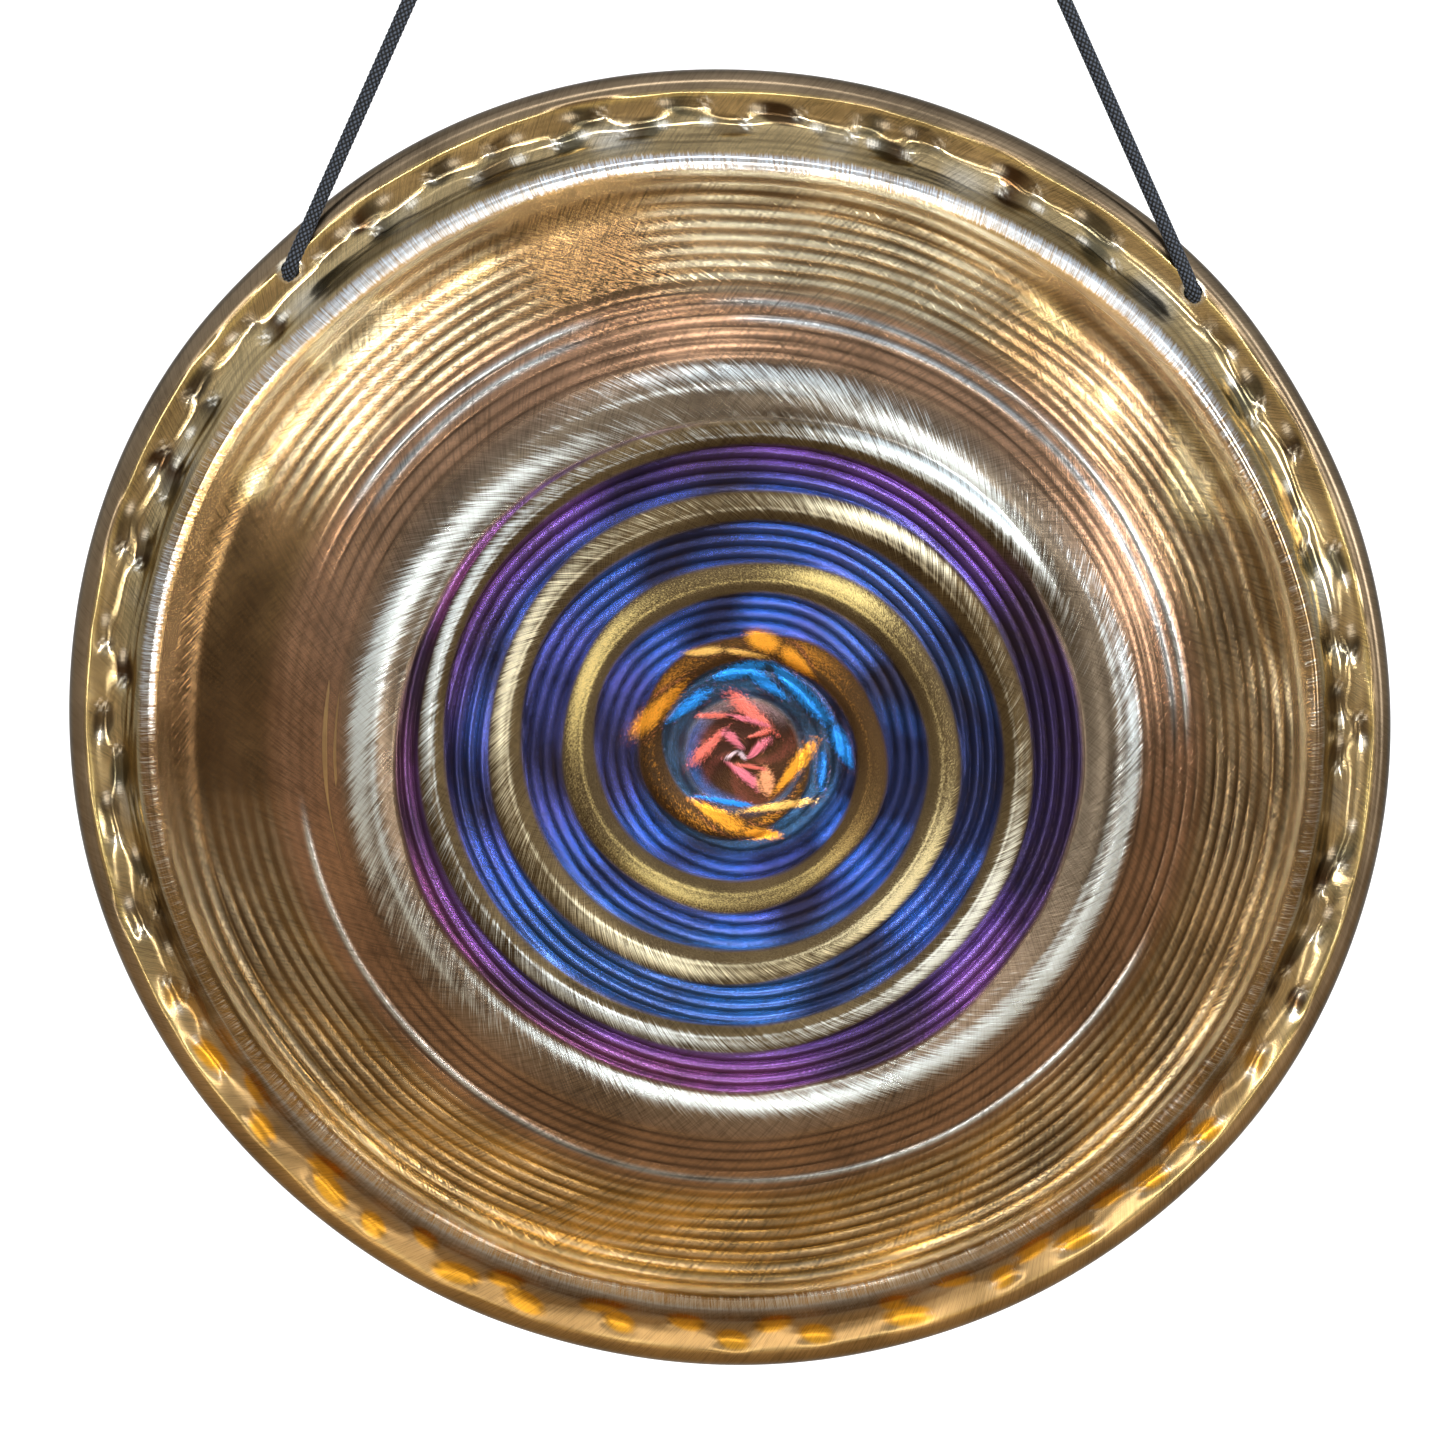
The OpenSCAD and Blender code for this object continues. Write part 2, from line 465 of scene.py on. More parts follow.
# Where the zones of the face pass into one another: the start and the end of each change
TINT_IN = (CORE_R - 2, CORE_R + 2)
TINT_OUT = (124.5, 127)
SILVER_IN = (124.5, 127.5)
SILVER_OUT = (146, 152)
COPPER_IN = (145, 151)
BOW_IN = (168, 180)
RIDGE_IN = (215, 217)
TROUGH_IN = (220.5, 223)
TROUGH_OUT = (241, 244)
EDGE_IN = (241.5, 244)


class Pattern:
    """Everything that the hand-made face needs to know at each point: where it lies in each ring
    and in the spiral, and how each kind of work marks it."""

    def __init__(self, r, turn):
        x, y = polar(r, turn)
        x = x - middle_shift(r)
        self.r = r
        self.turn = turn
        self.rp = np.hypot(x, y)
        self.tp = np.degrees(np.arctan2(y, x)) % 360
        self.wobble = waves(self.tp, 3, (2, 3, 5), 0.7) * smooth(15, 60, self.rp)
        self.rw = self.rp + self.wobble
        self.find_arm()
        self.find_zones()

    def find_arm(self):
        turns = (ARM_START - self.rw) / ARM_PITCH + (ARM_START_TURN - self.tp) / 360
        nearest = np.round(turns)
        self.gap = (turns - nearest) * ARM_PITCH
        self.wound = nearest + (self.tp - ARM_START_TURN) / 360
        live = smooth(-0.02, 0.05, self.wound) * smooth(CORE_R + 1, CORE_R + 5, self.rw)
        width = ARM_HALF * (0.95 + 0.2 * waves(self.tp, 8, (2, 5), 0.6))
        width = width * (0.72 + 0.28 * smooth(25, 60, self.rw)) * (0.76 + 0.24 * smooth(0.5, 1.3, self.wound))
        self.size = width / ARM_HALF
        self.arm = (1 - smooth(width * 0.8, width * 1.1, np.abs(self.gap))) * live
        self.arm_crown = unit(1 - (self.gap / (width * 1.1)) ** 2) ** 0.8 * live

    def find_zones(self):
        """Shares from 0 to 1 of each kind of work."""
        edge = self.rw + waves(self.tp, 12, (7, 11, 17), 0.8)
        self.core = 1 - smooth(CORE_R - 1, CORE_R + 1, self.rw)
        tint_edge = edge - 3.5 * sector(self.tp, 245, 55, 40)
        self.tinted = smooth(*TINT_IN, self.rw) * (1 - smooth(*TINT_OUT, tint_edge))
        self.silver = smooth(*SILVER_IN, tint_edge) * (1 - smooth(*SILVER_OUT, edge))
        self.copper = smooth(*COPPER_IN, edge) * (1 - smooth(*BOW_IN, self.rw))
        self.bow = smooth(*BOW_IN, self.rw) * (1 - smooth(*RIDGE_IN, edge))
        self.ridge = smooth(*RIDGE_IN, edge) * (1 - smooth(*TROUGH_IN, edge))
        self.trough = smooth(*TROUGH_IN, edge) * (1 - smooth(*TROUGH_OUT, self.r))
        self.edge = smooth(*EDGE_IN, self.r)


DENTS = 150


def dents(p):
    """Broad shallow hammer marks on the bow, and fainter ones further in."""
    draw = np.random.RandomState(21)
    x, y = polar(p.r, p.turn)
    total = np.zeros_like(x)
    for _ in range(DENTS):
        out = math.sqrt(draw.uniform(120 ** 2, 222 ** 2))
        turn = draw.uniform(0, 2 * math.pi)
        size = draw.uniform(9, 22)
        deep = draw.uniform(-0.42, 0.25) * size / 16
        away = (x - out * math.cos(turn)) ** 2 + (y - out * math.sin(turn)) ** 2
        total += deep * np.exp(-away / size ** 2)
    return total * smooth(120, 165, p.rp) * (1 - smooth(218, 226, p.r))


def lathe(along, pitch, shape):
    """Turned lines, from 0 in each valley to 1 on each crest."""
    return np.abs(np.sin(np.pi * along / pitch)) ** shape


def turned_lines(p):
    """The lines of the spiral, of the copper ring and of the bow."""
    uneven = waves(p.tp, 31, (3, 4, 7, 9), 0.35)
    return (lathe(p.rw + uneven, 4.7, 0.6), lathe(p.rp + uneven * 1.3, 4.3, 0.7),
            lathe(p.rp + waves(p.tp, 32, (5, 9, 14), 0.5), 4.6, 0.65))


def ripple_cloth(p):
    """Uneven strength of the bow's lines, which fade out in patches, from 0 to 1."""
    return unit(0.6 + 0.5 * waves(p.tp + p.rp * 0.6, 33, (6, 11, 17), 0.9))


# Where the bow's lines show, and where their crests carry a painted highlight: share, middle, half and soft
# edge.
# The inner ones fade out before the ridge.
INNER_LINES = ((0.9, 133, 11), (0.7, 18, 30, 18))
OUTER_LINES = ((0.9, 80, 13), (1.1, 262, 56, 22), (0.8, 335, 24))
CREST_HIGHLIGHTS = ((1, 80, 12, 12), (0.4, 133, 12, 10), (0.25, 18, 26), (0.4, 265, 60, 24))
# Height, and darkness of the painted shade in the valleys, of the lines of the spiral, of the copper ring and
# of the bow
LINE_RISES = (0.75, 0.42, 0.42)
LINE_DARKS = (1.1, 0.95, 1.0)


def line_strength(p):
    """How deep each kind of turned line is cut, from 0 to 1."""
    bow = sectors(p.tp, INNER_LINES) * (1 - smooth(190, 208, p.rp)) + sectors(p.tp, OUTER_LINES)
    return (p.tinted * (1 - p.arm) * smooth(24, 42, p.rp), p.copper * (1 - 0.75 * sector(p.tp, 186, 20, 18)),
            p.bow * np.clip(bow * np.clip(ripple_cloth(p), 0.3, 1) - 0.06, 0.02, 1))


def grooves(p):
    """Height of the turned lines: deep ones round the spiral, finer ones further out."""
    kinds = zip(LINE_RISES, turned_lines(p), line_strength(p))
    return sum(rise * line * cut for rise, line, cut in kinds)


def line_shade(p):
    """How much painted shade darkens the valleys of the turned lines, from 0 to 1."""
    kinds = zip(LINE_DARKS, turned_lines(p), line_strength(p))
    return sum(dark * (1 - line) * cut for dark, line, cut in kinds)


def line_crest_highlight(p):
    """Where the crests of the bow's lines carry a painted highlight, from 0 to 1."""
    return smooth(0.72, 0.97, turned_lines(p)[2]) * p.bow * sectors(p.tp, CREST_HIGHLIGHTS)


# Radius, start and end of each raised line
LINE_RINGS = ((163.0, 10, 45), (168.0, 10, 45), (162.5, 55, 85), (168.0, 58, 88), (163.5, 118, 140),
              (168.5, 116, 142), (167.5, 195, 330))


def line_rings(p):
    """Thin raised lines with a rope's marks, each on its own stretch of the circle."""
    total = np.zeros_like(p.r)
    for r, start, end in LINE_RINGS:
        drift = 4.5 * (p.tp - 260) / 130 if end - start > 60 else 0
        reach = sector(p.tp, (start + end) / 2, (end - start) / 2, 9)
        total += bell(r + drift + waves(p.tp, int(r * 2), (3, 8), 0.3), 1.05, p.rp) * reach
    return total


PIT_HALF = 3.9
PIT_REACH, PIT_REACH_TURN = 9, 5
# Radius, mean spacing in degrees and first turn of each row of pits
PIT_ROWS = ((229.6, 8.4, 0), (236.8, 8.0, 4.1))
HOLE_CLEAR = 14
HOLE_CALM = 42


def pit_list():
    """The hammered pits: radius, turn, half length, depth, and which end the tool bit into."""
    draw = np.random.RandomState(5)
    pits = []
    for row_r, spacing, start in PIT_ROWS:
        turn = start
        while turn < 360 + start - spacing / 2:
            r = row_r + draw.uniform(-1.7, 1.5)
            place = turn + draw.uniform(-1.2, 1.2)
            if min(abs(turn_gap(place, hole)) for hole in HOLES) * math.radians(HOLE_R) > HOLE_CLEAR:
                pits.append((r, place % 360, draw.uniform(5.5, 10.5), draw.uniform(0.5, 1.2),
                             draw.choice((-1, 1))))
            turn += spacing * draw.uniform(0.68, 1.32)
    return pits


def add_pits(r, turn, height, marks, shade):
    """Presses each oval pit into the trough, with the crumpled bite of the tool at one end; it marks the oval
    for painted shade, and the bite and a spot at the other end for a painted glint.
    """
    for pit_r, pit_turn, size, depth, end in pit_list():
        window = np.ix_(np.abs(r[:, 0] - pit_r) < PIT_REACH,
                       np.abs(turn_gap(turn[0], pit_turn)) < PIT_REACH_TURN)
        dr = r[window] - pit_r
        dt = turn_gap(turn[window], pit_turn) * math.radians(pit_r)
        away = np.sqrt(((dr + 0.15 * end * dt) / PIT_HALF) ** 2 + (dt / size) ** 2)
        bite = np.exp(-(((dr - 0.4) / 2.4) ** 4 + ((dt - end * size * 0.8) / 2.1) ** 2))
        crumple = np.sin(dt * 1.7 + pit_turn) * np.sin(dr * 2.1 + 2 * pit_turn)
        height[window] += -depth * np.exp(-away ** 2) - bite * (0.35 + 0.25 * crumple)
        # A spot for a painted glint at the other end.
        spot = np.exp(-(((dr - 1.2) / 1.5) ** 2 + ((dt + end * size * 0.85) / 2.6) ** 2) * 1.4)
        marks[window] = np.maximum(marks[window], np.maximum(bite * unit(0.35 + 0.65 * crumple), spot))
        shade[window] = np.maximum(shade[window], 1 - smooth(0.8, 1.2, away))


def grain_lines(p):
    """Lines that flow along between the ridge and the pits, from -1 to 1."""
    return np.sin(2 * np.pi * (p.r + waves(p.turn, 45, (6, 13, 26), 1.3)) / 2.6) * bell(225.5, 3.2, p.r)


def lip_bell(p, middle, width):
    """A band along the wavy lip between the trough and the rolled edge."""
    return bell(middle, width, p.r + waves(p.turn, 44, (8, 15, 27), 0.7))


def arm_rise(crown, r):
    return ARM_RISE * crown * smooth(18, 40, r)


def settle(height, r, low):
    """The worked height, brought back to the frame's own curve at the rolled edge."""
    still = smooth(*low, r)
    return height * (1 - still) + face_rise(r) * still


LINE_RING_RISE = 0.55
RIDGE_WAVE = 0.7
TROUGH_WAVE = 0.5
GRAIN_RISE = 0.10
STREAK_RISE = 0.16


def face_height(p):
    """The height of the struck face at each point, and where tools have marked it."""
    round_rim = smooth(226, 236, p.r)
    base = face_rise(p.rp * (1 - round_rim) + p.r * round_rim)
    height = base + dents(p) + grooves(p) + LINE_RING_RISE * line_rings(p)
    height += arm_rise(p.arm_crown, p.rp)
    ridge = bell(220 + waves(p.tp, 41, (4, 7, 13), 0.9), 3.2, p.rw) * (1 - p.edge)
    height += RIDGE_WAVE * ridge * (1 - 0.9 * hole_near(p.r, p.turn))
    height += TROUGH_WAVE * waves(p.turn, 42, (9, 14, 23), 1.0) * bell(234, 7, p.r)
    height += GRAIN_RISE * grain_lines(p)
    lip = lip_bell(p, 242.4, 2.0) * (1 - 0.75 * warm_reflection_share(p))
    height += (0.35 + 0.5 * waves(p.turn, 43, (11, 19, 31), 1.0)) * lip
    height += STREAK_RISE * streaks(p)[0]
    marks, shade = np.zeros_like(height), np.zeros_like(height)
    add_pits(p.r, p.turn, height, marks, shade)
    return settle(height, p.r, EDGE_IN), marks, shade


def hole_away(r, turn):
    """The distance to the nearer cord hole."""
    return np.minimum(*(np.hypot(r - HOLE_R, turn_gap(turn, hole) * math.radians(HOLE_R)) for hole in HOLES))


def hole_near(r, turn):
    """1 at a cord hole, falling to 0 some way off."""
    return bell(0, HOLE_CALM, hole_away(r, turn))


def hole_column(hole):
    return int(round(hole * COLUMNS / 360))


def out_of_round(r, turn):
    """How much further out than a true circle a point lies."""
    shape = -1.75 * np.cos(np.radians(2 * (turn - 41))) + waves(turn, 51, (3, 5, 8, 13), 0.35)
    return shape * smooth(110, 245, r) * (1 - hole_near(r, turn))


def warp_holes(r, turn, centre_row):
    """Moves the grid round each hole so that one ring of its points makes the hole's edge."""
    pitch = math.radians(HOLE_R) * 360 / COLUMNS
    for hole in HOLES:
        column = hole_column(hole)
        for a in range(-BLOCK, BLOCK + 1):
            for b in range(-BLOCK, BLOCK + 1):
                ring = max(abs(a), abs(b))
                if ring in (0, BLOCK):
                    continue
                circle = HOLE_RADIUS / math.hypot(a, b) * np.array([a, b])
                reach = BLOCK_OUT if a > 0 else BLOCK_IN
                square_at = np.array([a / ring * reach, b / ring * BLOCK * pitch])
                share = max(ring - BLOCK_HOLE, 0) / (BLOCK - BLOCK_HOLE)
                out, side = circle + (square_at - circle) * share
                r[centre_row + a, column + b] = HOLE_R + out
                turn[centre_row + a, column + b] = hole + math.degrees(side / HOLE_R)


def face_grid(step):
    """Rows of one side of the sheet: radius and turn of each point, and the holes' middle row."""
    inner = np.linspace(-BLOCK_IN, 0, BLOCK + 1)[1:]
    outer = np.linspace(0, BLOCK_OUT, BLOCK + 1)[1:]
    first = HOLE_R - BLOCK_IN
    rows = np.concatenate([np.linspace(0.5, first, int(first / step)), HOLE_R + inner, HOLE_R + outer])
    centre_row = len(rows) - 1 - BLOCK
    r, turn = np.meshgrid(rows, np.arange(COLUMNS) * 360 / COLUMNS, indexing="ij")
    warp_holes(r, turn, centre_row)
    return r, turn, centre_row


LIP_BEND = 0.7
LIP_CHAMFER = 0.2


def edge_arc(radius, turns):
    """Points round the middle of the rolled edge."""
    out, up = polar(radius, turns)
    return list(zip(EDGE_START + out, EDGE_RISE - EDGE_R + up))


def between(start, end, shares):
    """Points on a straight line, at shares of its length."""
    return [tuple(a + (b - a) * share for a, b in zip(start, end)) for share in shares]


def edge_profile():
    """The rolled edge and the turned rim, outside and in, as pairs of radius and height."""
    outside = edge_arc(EDGE_R, np.linspace(84, -RIM_TAPER, 16))
    foot = GONG_R - RIM_DEPTH * math.tan(math.radians(RIM_TAPER))
    low = LIP_BEND - RIM_DEPTH
    rim = between(outside[-1], (foot, low), np.linspace(0.12, 1, 8))
    lip = [(foot - LIP_CHAMFER, LIP_CHAMFER - RIM_DEPTH), (foot - SHEET / 2, -RIM_DEPTH),
           (foot - SHEET + LIP_CHAMFER, LIP_CHAMFER - RIM_DEPTH), (foot - SHEET, low)]
    inside_r = EDGE_R - SHEET
    wall_top = (EDGE_START + polar(inside_r, -RIM_TAPER)[0], EDGE_RISE - EDGE_R)
    wall = between(lip[-1], wall_top, np.linspace(0.15, 0.95, 6))
    inside = edge_arc(inside_r, np.linspace(0, 80, 8))
    return outside + rim + lip + wall + inside


def ring_index(centre_row, column):
    """Grid places (row, column) round a hole, in order."""
    n = BLOCK_HOLE
    path = ([(a, n) for a in range(-n, n)] + [(n, b) for b in range(n, -n, -1)]
            + [(a, -n) for a in range(n, -n, -1)] + [(-n, b) for b in range(-n, n)])
    return [(centre_row + a, column + b) for a, b in path]


def gong_faces(rows, front_centre, back_centre, front_rows):
    """All faces of the closed sheet, and which of them have the back's material."""
    quads = grid_faces(rows, COLUMNS)[..., [0, 3, 2, 1]]
    keep = np.ones((rows - 1, COLUMNS), bool)
    walls = []
    for column in map(hole_column, HOLES):
        for centre in (front_centre, back_centre):
            keep[centre - BLOCK_HOLE:centre + BLOCK_HOLE, column - BLOCK_HOLE:column + BLOCK_HOLE] = False
        ring = [(a * COLUMNS + b, (back_centre + front_centre - a) * COLUMNS + b)
                for a, b in ring_index(front_centre, column)]
        walls += [[front, next_front, next_back, back]
                  for (front, back), (next_front, next_back) in zip(ring, ring[1:] + ring[:1])]
    middles = [list(range(COLUMNS)), list(range((rows - 1) * COLUMNS, rows * COLUMNS))[::-1]]
    faces = quads[keep].tolist() + walls + middles
    is_back = np.repeat(np.arange(rows - 1) >= front_rows, keep.sum(axis=1)).tolist()
    back = is_back + [False] * len(walls) + [False, True]
    return faces, back


FRONT_STEP, BACK_STEP = 0.78, 2.4
INSIDE_ROWS = 15
BACK_DENTS, BACK_ARM = 0.9, 0.8
BACK_EDGE_IN = (240, 244)


def whole(front, edge, back):
    """Rows over the whole sheet: the face from its middle out, the edge, and the back inwards."""
    return np.concatenate([front, edge, back[::-1]])


def make_gong(materials):
    """The whole sheet as one closed mesh, with its back in a second material."""
    front_r, front_turn, front_centre = face_grid(FRONT_STEP)
    front_h, marks, shade = face_height(Pattern(front_r, front_turn))
    profile = np.array(edge_profile())
    edge_r, edge_turn = np.meshgrid(profile[:, 0], front_turn[0], indexing="ij")
    edge_h = np.repeat(profile[:, 1][:, None], COLUMNS, axis=1)
    back_r, back_turn, back_centre = face_grid(BACK_STEP)
    back = Pattern(back_r, back_turn)
    back_h = face_rise(back_r) + BACK_DENTS * dents(back) + BACK_ARM * arm_rise(back.arm_crown, back_r)
    back_marks, back_shade = np.zeros_like(back_h), np.zeros_like(back_h)
    add_pits(back_r, back_turn, back_h, back_marks, back_shade)
    back_h = settle(back_h, back_r, BACK_EDGE_IN) - SHEET
    r = whole(front_r, edge_r, back_r)
    turn = whole(front_turn, edge_turn, back_turn)
    points = np.stack([*polar(r + out_of_round(r, turn), turn), whole(front_h, edge_h, back_h)], axis=-1)
    front_rows = len(front_r) + len(edge_r) - INSIDE_ROWS
    faces, is_back = gong_faces(len(r), front_centre, len(r) - 1 - back_centre, front_rows)
    used, faces = drop_unused(faces, r.size)
    gong = new_mesh("gong_shell", points.reshape(-1, 3)[used], faces)
    gong.matrix_world = gong_matrix()
    plain = np.zeros_like(edge_h)
    paint_gong(gong, Pattern(r, turn), whole(marks, plain, back_marks), whole(shade, plain, back_shade), used)
    gong.data.materials.append(materials["gong"])
    gong.data.materials.append(materials["gong_back"])
    gong.data.polygons.foreach_set("material_index", np.array(is_back, np.int32))
    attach(gong, "gong")
    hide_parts("gong_plate")


def drop_unused(faces, count):
    """Leaves out points that no face uses."""
    used = np.unique(np.fromiter((v for f in faces for v in f), dtype=np.int64))
    new_index = np.zeros(count, np.int64)
    new_index[used] = np.arange(len(used))
    return used, [[new_index[v] for v in f] for f in faces]


# ---------------------------------------------------------------- the gong's colours

BRONZE = (0.32, 0.20, 0.105)
GOLD = (0.46, 0.31, 0.135)
AMBER_REFLECTION = (0.56, 0.29, 0.055)
AMBER_REFLECTION_PATCH = (0.66, 0.35, 0.075)
ORANGE_GOLD = (0.68, 0.31, 0.015)
UMBER = (0.065, 0.034, 0.013)
BRASS = (0.48, 0.37, 0.19)
EDGE_BROWN = (0.24, 0.18, 0.115)
DULL_GREEN = (0.13, 0.115, 0.07)
SILVER = (0.78, 0.87, 0.90)
STEEL_BLUE = (0.70, 0.78, 0.86)
BEIGE = (0.60, 0.54, 0.45)
LOW_BRASS = (0.38, 0.225, 0.085)
KHAKI = (0.165, 0.135, 0.10)
RING_COPPER = (0.36, 0.265, 0.185)
COPPER = (0.38, 0.22, 0.135)
CREAM = (0.92, 0.87, 0.64)
WHITE_GOLD = (1.0, 0.94, 0.78)
YELLOW = (0.92, 0.74, 0.30)
ORANGE = (0.90, 0.37, 0.035)
GOLDEN = (0.95, 0.56, 0.15)
PEACH = (0.92, 0.40, 0.20)
ARM_BROWN = (0.15, 0.108, 0.052)
ARM_RUST = (0.095, 0.046, 0.016)
BLUE = (0.030, 0.135, 0.62)
SKY = (0.025, 0.17, 0.56)
DEEP_TEAL = (0.025, 0.075, 0.16)
BRIGHT_BLUE = (0.03, 0.30, 1.0)
LAVENDER = (0.34, 0.30, 0.72)
PURPLE = (0.135, 0.062, 0.39)
MAGENTA = (0.27, 0.068, 0.25)
NIGHT = (0.010, 0.012, 0.035)
CORAL = (0.84, 0.20, 0.16)
PINK = (0.80, 0.21, 0.30)
PALE_PINK = (0.80, 0.62, 0.72)
WINE = (0.060, 0.020, 0.016)


# Where the turned bands get painted shade: share, middle, half and soft edge
DARK_BANDS = ((1, 8, 20, 16), (0.85, 106, 9, 14), (0.8, 176, 16, 14), (0.85, 297, 8, 14), (0.6, 345, 12, 14),
              (0.5, 232, 7, 12))
VIOLET_BANDS = ((1, 172, 22, 20), (1, 50, 12, 16), (0.7, 290, 10, 14))


def tinted_colour(p):
    """Heat colours of the turned bands: magenta outside, then purple, blue and cyan inwards, with painted
    shade and painted crest highlights.
    """
    drift = p.rw + waves(p.tp, 61, (1, 2, 3), 4.0)
    outer = smooth(110, 124, drift) * (0.45 + 0.55 * sector(p.tp, 205, 50, 40))
    violet = unit(0.4 * sectors(p.tp, VIOLET_BANDS)) * (1 - smooth(90, 104, drift))
    high = sector(p.tp, 40, 16, 20) * smooth(40, 60, drift) * (1 - smooth(90, 110, drift))
    low = sector(p.tp, 262, 34, 22) * smooth(64, 76, drift) * (1 - smooth(104, 116, drift))
    # A painted highlight on the crests of the lines.
    crest = smooth(0.8, 1.0, turned_lines(p)[0]) * smooth(38, 48, p.rp)
    circles = 0.85 * bell(23.5, 1.1, p.rp) + 0.7 * bell(39.5, 1.3, p.rw) * (1 - p.arm)
    # Painted shade in the dark sectors, with dark circles and a random darker tone.
    dark = sectors(p.tp, DARK_BANDS) * smooth(30, 48, p.rp) + circles
    dark = unit(dark + 0.3 * waves(p.tp + p.rp, 62, (7, 11), 1))
    return layers(BLUE, (PURPLE, smooth(98, 112, drift)), (MAGENTA, outer), (PURPLE, violet),
                  (SKY, 0.5 * high), (SKY, 0.85 * low), (DEEP_TEAL, 1 - smooth(34, 44, p.rp)),
                  (LAVENDER, 0.22 * crest), (NIGHT, 0.9 * dark))


def lit(turn, middle, wide):
    """1 at the middle angle, falling to 0 over about twice the width."""
    return bell(0, wide, turn_gap(turn, middle))


def arm_highlight(p):
    """Painted highlight on the spiral: its outer half in four stretches, and a thin crest line."""
    later = 14 * smooth(1.5, 3.5, p.wound)
    bright = (lit(p.tp, 158 - later, 31) + lit(p.tp, 322 - later, 31) + 0.9 * lit(p.tp, 62, 21)
              + 0.8 * lit(p.tp, 245, 26))
    bright = unit(bright) ** 1.15
    fur = bell(-2.4, 3.6, p.gap / p.size) * (0.12 + 0.88 * bright)
    crest = 0.95 * bell(0.9, 0.9, p.gap / p.size) * (0.42 + 0.58 * bright)
    return np.maximum(fur, crest) * p.arm * (1 - 0.5 * smooth(2.5, 2.9, p.wound))


def arm_highlight_colour(p):
    """The colour of that painted highlight: silver-white outside, then cream, gold and orange inwards."""
    return layers(SILVER, (CREAM, smooth(0.45, 1.2, p.wound)), (YELLOW, smooth(1.5, 2.1, p.wound)),
                  (ORANGE, smooth(2.7, 3.05, p.wound)))


# Turn, radius, reach and strength of each painted highlight streak on the silver ring
RING_HIGHLIGHT_STREAKS = ((138, 133, 30, 0.85), (178, 142, 30, 1.0), (212, 137, 22, 0.6), (250, 133, 24, 0.75),
                (285, 135, 26, 0.8), (325, 142, 32, 0.9), (5, 146, 30, 0.7), (52, 133, 26, 1.0),
                (88, 144, 24, 0.75))


def ring_ground(p):
    """Khaki between the painted highlight streaks above, copper-beige below."""
    return layers(KHAKI, (RING_COPPER, 0.85 * sector(p.tp, 250, 62, 40)),
                  (COPPER, 0.4 * smooth(138, 150, p.rw)))


def ring_highlight(p):
    """Painted highlight streaks on the silver ring."""
    bright = np.zeros_like(p.r)
    for turn, r_mid, wide, strength in RING_HIGHLIGHT_STREAKS:
        lean = 0.10 * turn_gap(p.tp, turn)
        bright += lit(p.tp, turn, wide) * bell(r_mid + lean, 4.6, p.rw) * strength
        bright += 0.45 * lit(p.tp, turn + 16, wide * 0.8) * bell(r_mid - 5.5 + 0.6 * lean, 1.3, p.rw)
    return unit(bright) ** 1.3 * p.silver


# Painted highlight along the ridge, brightest at the top, with thin spots at the left and the bottom; it also
# sets how brushed the ridge is.
def ridge_light(p):
    return 0.22 + sectors(p.tp, ((0.5, 88, 40, 26), (0.4, 169, 5, 8), (0.35, 271, 4, 9)))


def warm_reflection_share(p):
    """Painted warm reflection of the room below: strongest at the lower left."""
    return unit(smooth(-40, -200, polar(p.r, p.turn)[1]) * (0.75 + 0.25 * sector(p.turn, 240, 40, 30)))


# Groups of spots on the bow, painted as bright glints and dark reflections: turn, its spread, radius, its
# spread and count
GLINTS = ((133, 3.5, 208, 3.5, 15), (148, 4, 203, 5, 3), (120, 3, 203, 5, 2), (33, 4, 204, 6, 11),
          (46, 2, 186, 6, 4), (54, 2, 202, 3, 2))
SHADES = ((150, 14, 190, 12, 16), (115, 9, 192, 12, 12), (40, 14, 192, 12, 16), (80, 12, 205, 6, 6),
          (10, 14, 200, 10, 9), (190, 16, 205, 8, 8), (235, 25, 205, 8, 6), (310, 30, 200, 10, 8))


BLOBS_START, BLOBS_END = 155, 226


def blobs(p, seed, groups, low, high, size_by=1.0):
    """Merged irregular spots on the bow, for painted glints and dark reflections."""
    draw = np.random.RandomState(seed)
    rows = (p.r[:, 0] > BLOBS_START) & (p.r[:, 0] < BLOBS_END)
    r, turn = p.r[rows], p.turn[rows]
    total = np.zeros_like(r)
    for middle, spread, r_middle, r_spread, count in groups:
        for _ in range(count):
            at, r_at = draw.normal(middle, spread), draw.normal(r_middle, r_spread)
            size = draw.uniform(3, 8) * size_by
            along = turn_gap(turn, at) * math.radians(r_at) / size
            out = (r - r_at) / size
            total += np.exp(-((along * 0.65 + out * 0.35) ** 2 + (out * 1.1 - along * 0.3) ** 2))
    share = np.zeros_like(p.r)
    share[rows] = smooth(low, high, total) * (1 - smooth(213, 218, r))
    return share


def bow_colour(p, warm):
    gold = unit(0.3 + 0.35 * waves(p.tp, 71, (3, 5, 8), 0.8) + 0.3 * smooth(190, 212, p.rp))
    # Painted reflections: amber of the warm room below, dark brown where the bow mirrors the dark room, dark
    # patches, and glints of yellow and white.
    return layers(BRONZE, (GOLD, gold), (AMBER_REFLECTION, 0.9 * warm),
                  (UMBER, 0.6 * sector(p.tp, 188, 22, 28) * (1 - 0.6 * smooth(198, 214, p.rp))),
                  (UMBER, 0.40 * sector(p.tp, 0, 26, 24)),
                  (UMBER, 0.5 * sector(p.tp, 113, 9, 12) * (1 - smooth(180, 206, p.rp))),
                  (UMBER, 0.35 * sector(p.tp, 300, 20, 20)),
                  (AMBER_REFLECTION_PATCH, 0.8 * warm * (1 - smooth(0.25, 0.7, ripple_cloth(p)))),
                  (UMBER, 0.5 * blobs(p, 78, SHADES, 0.2, 1.8, 2.0)),
                  (YELLOW, 0.3 * blobs(p, 77, GLINTS, 0.1, 1.8)),
                  (WHITE_GOLD, 0.2 * blobs(p, 77, GLINTS, 0.6, 2.6)))


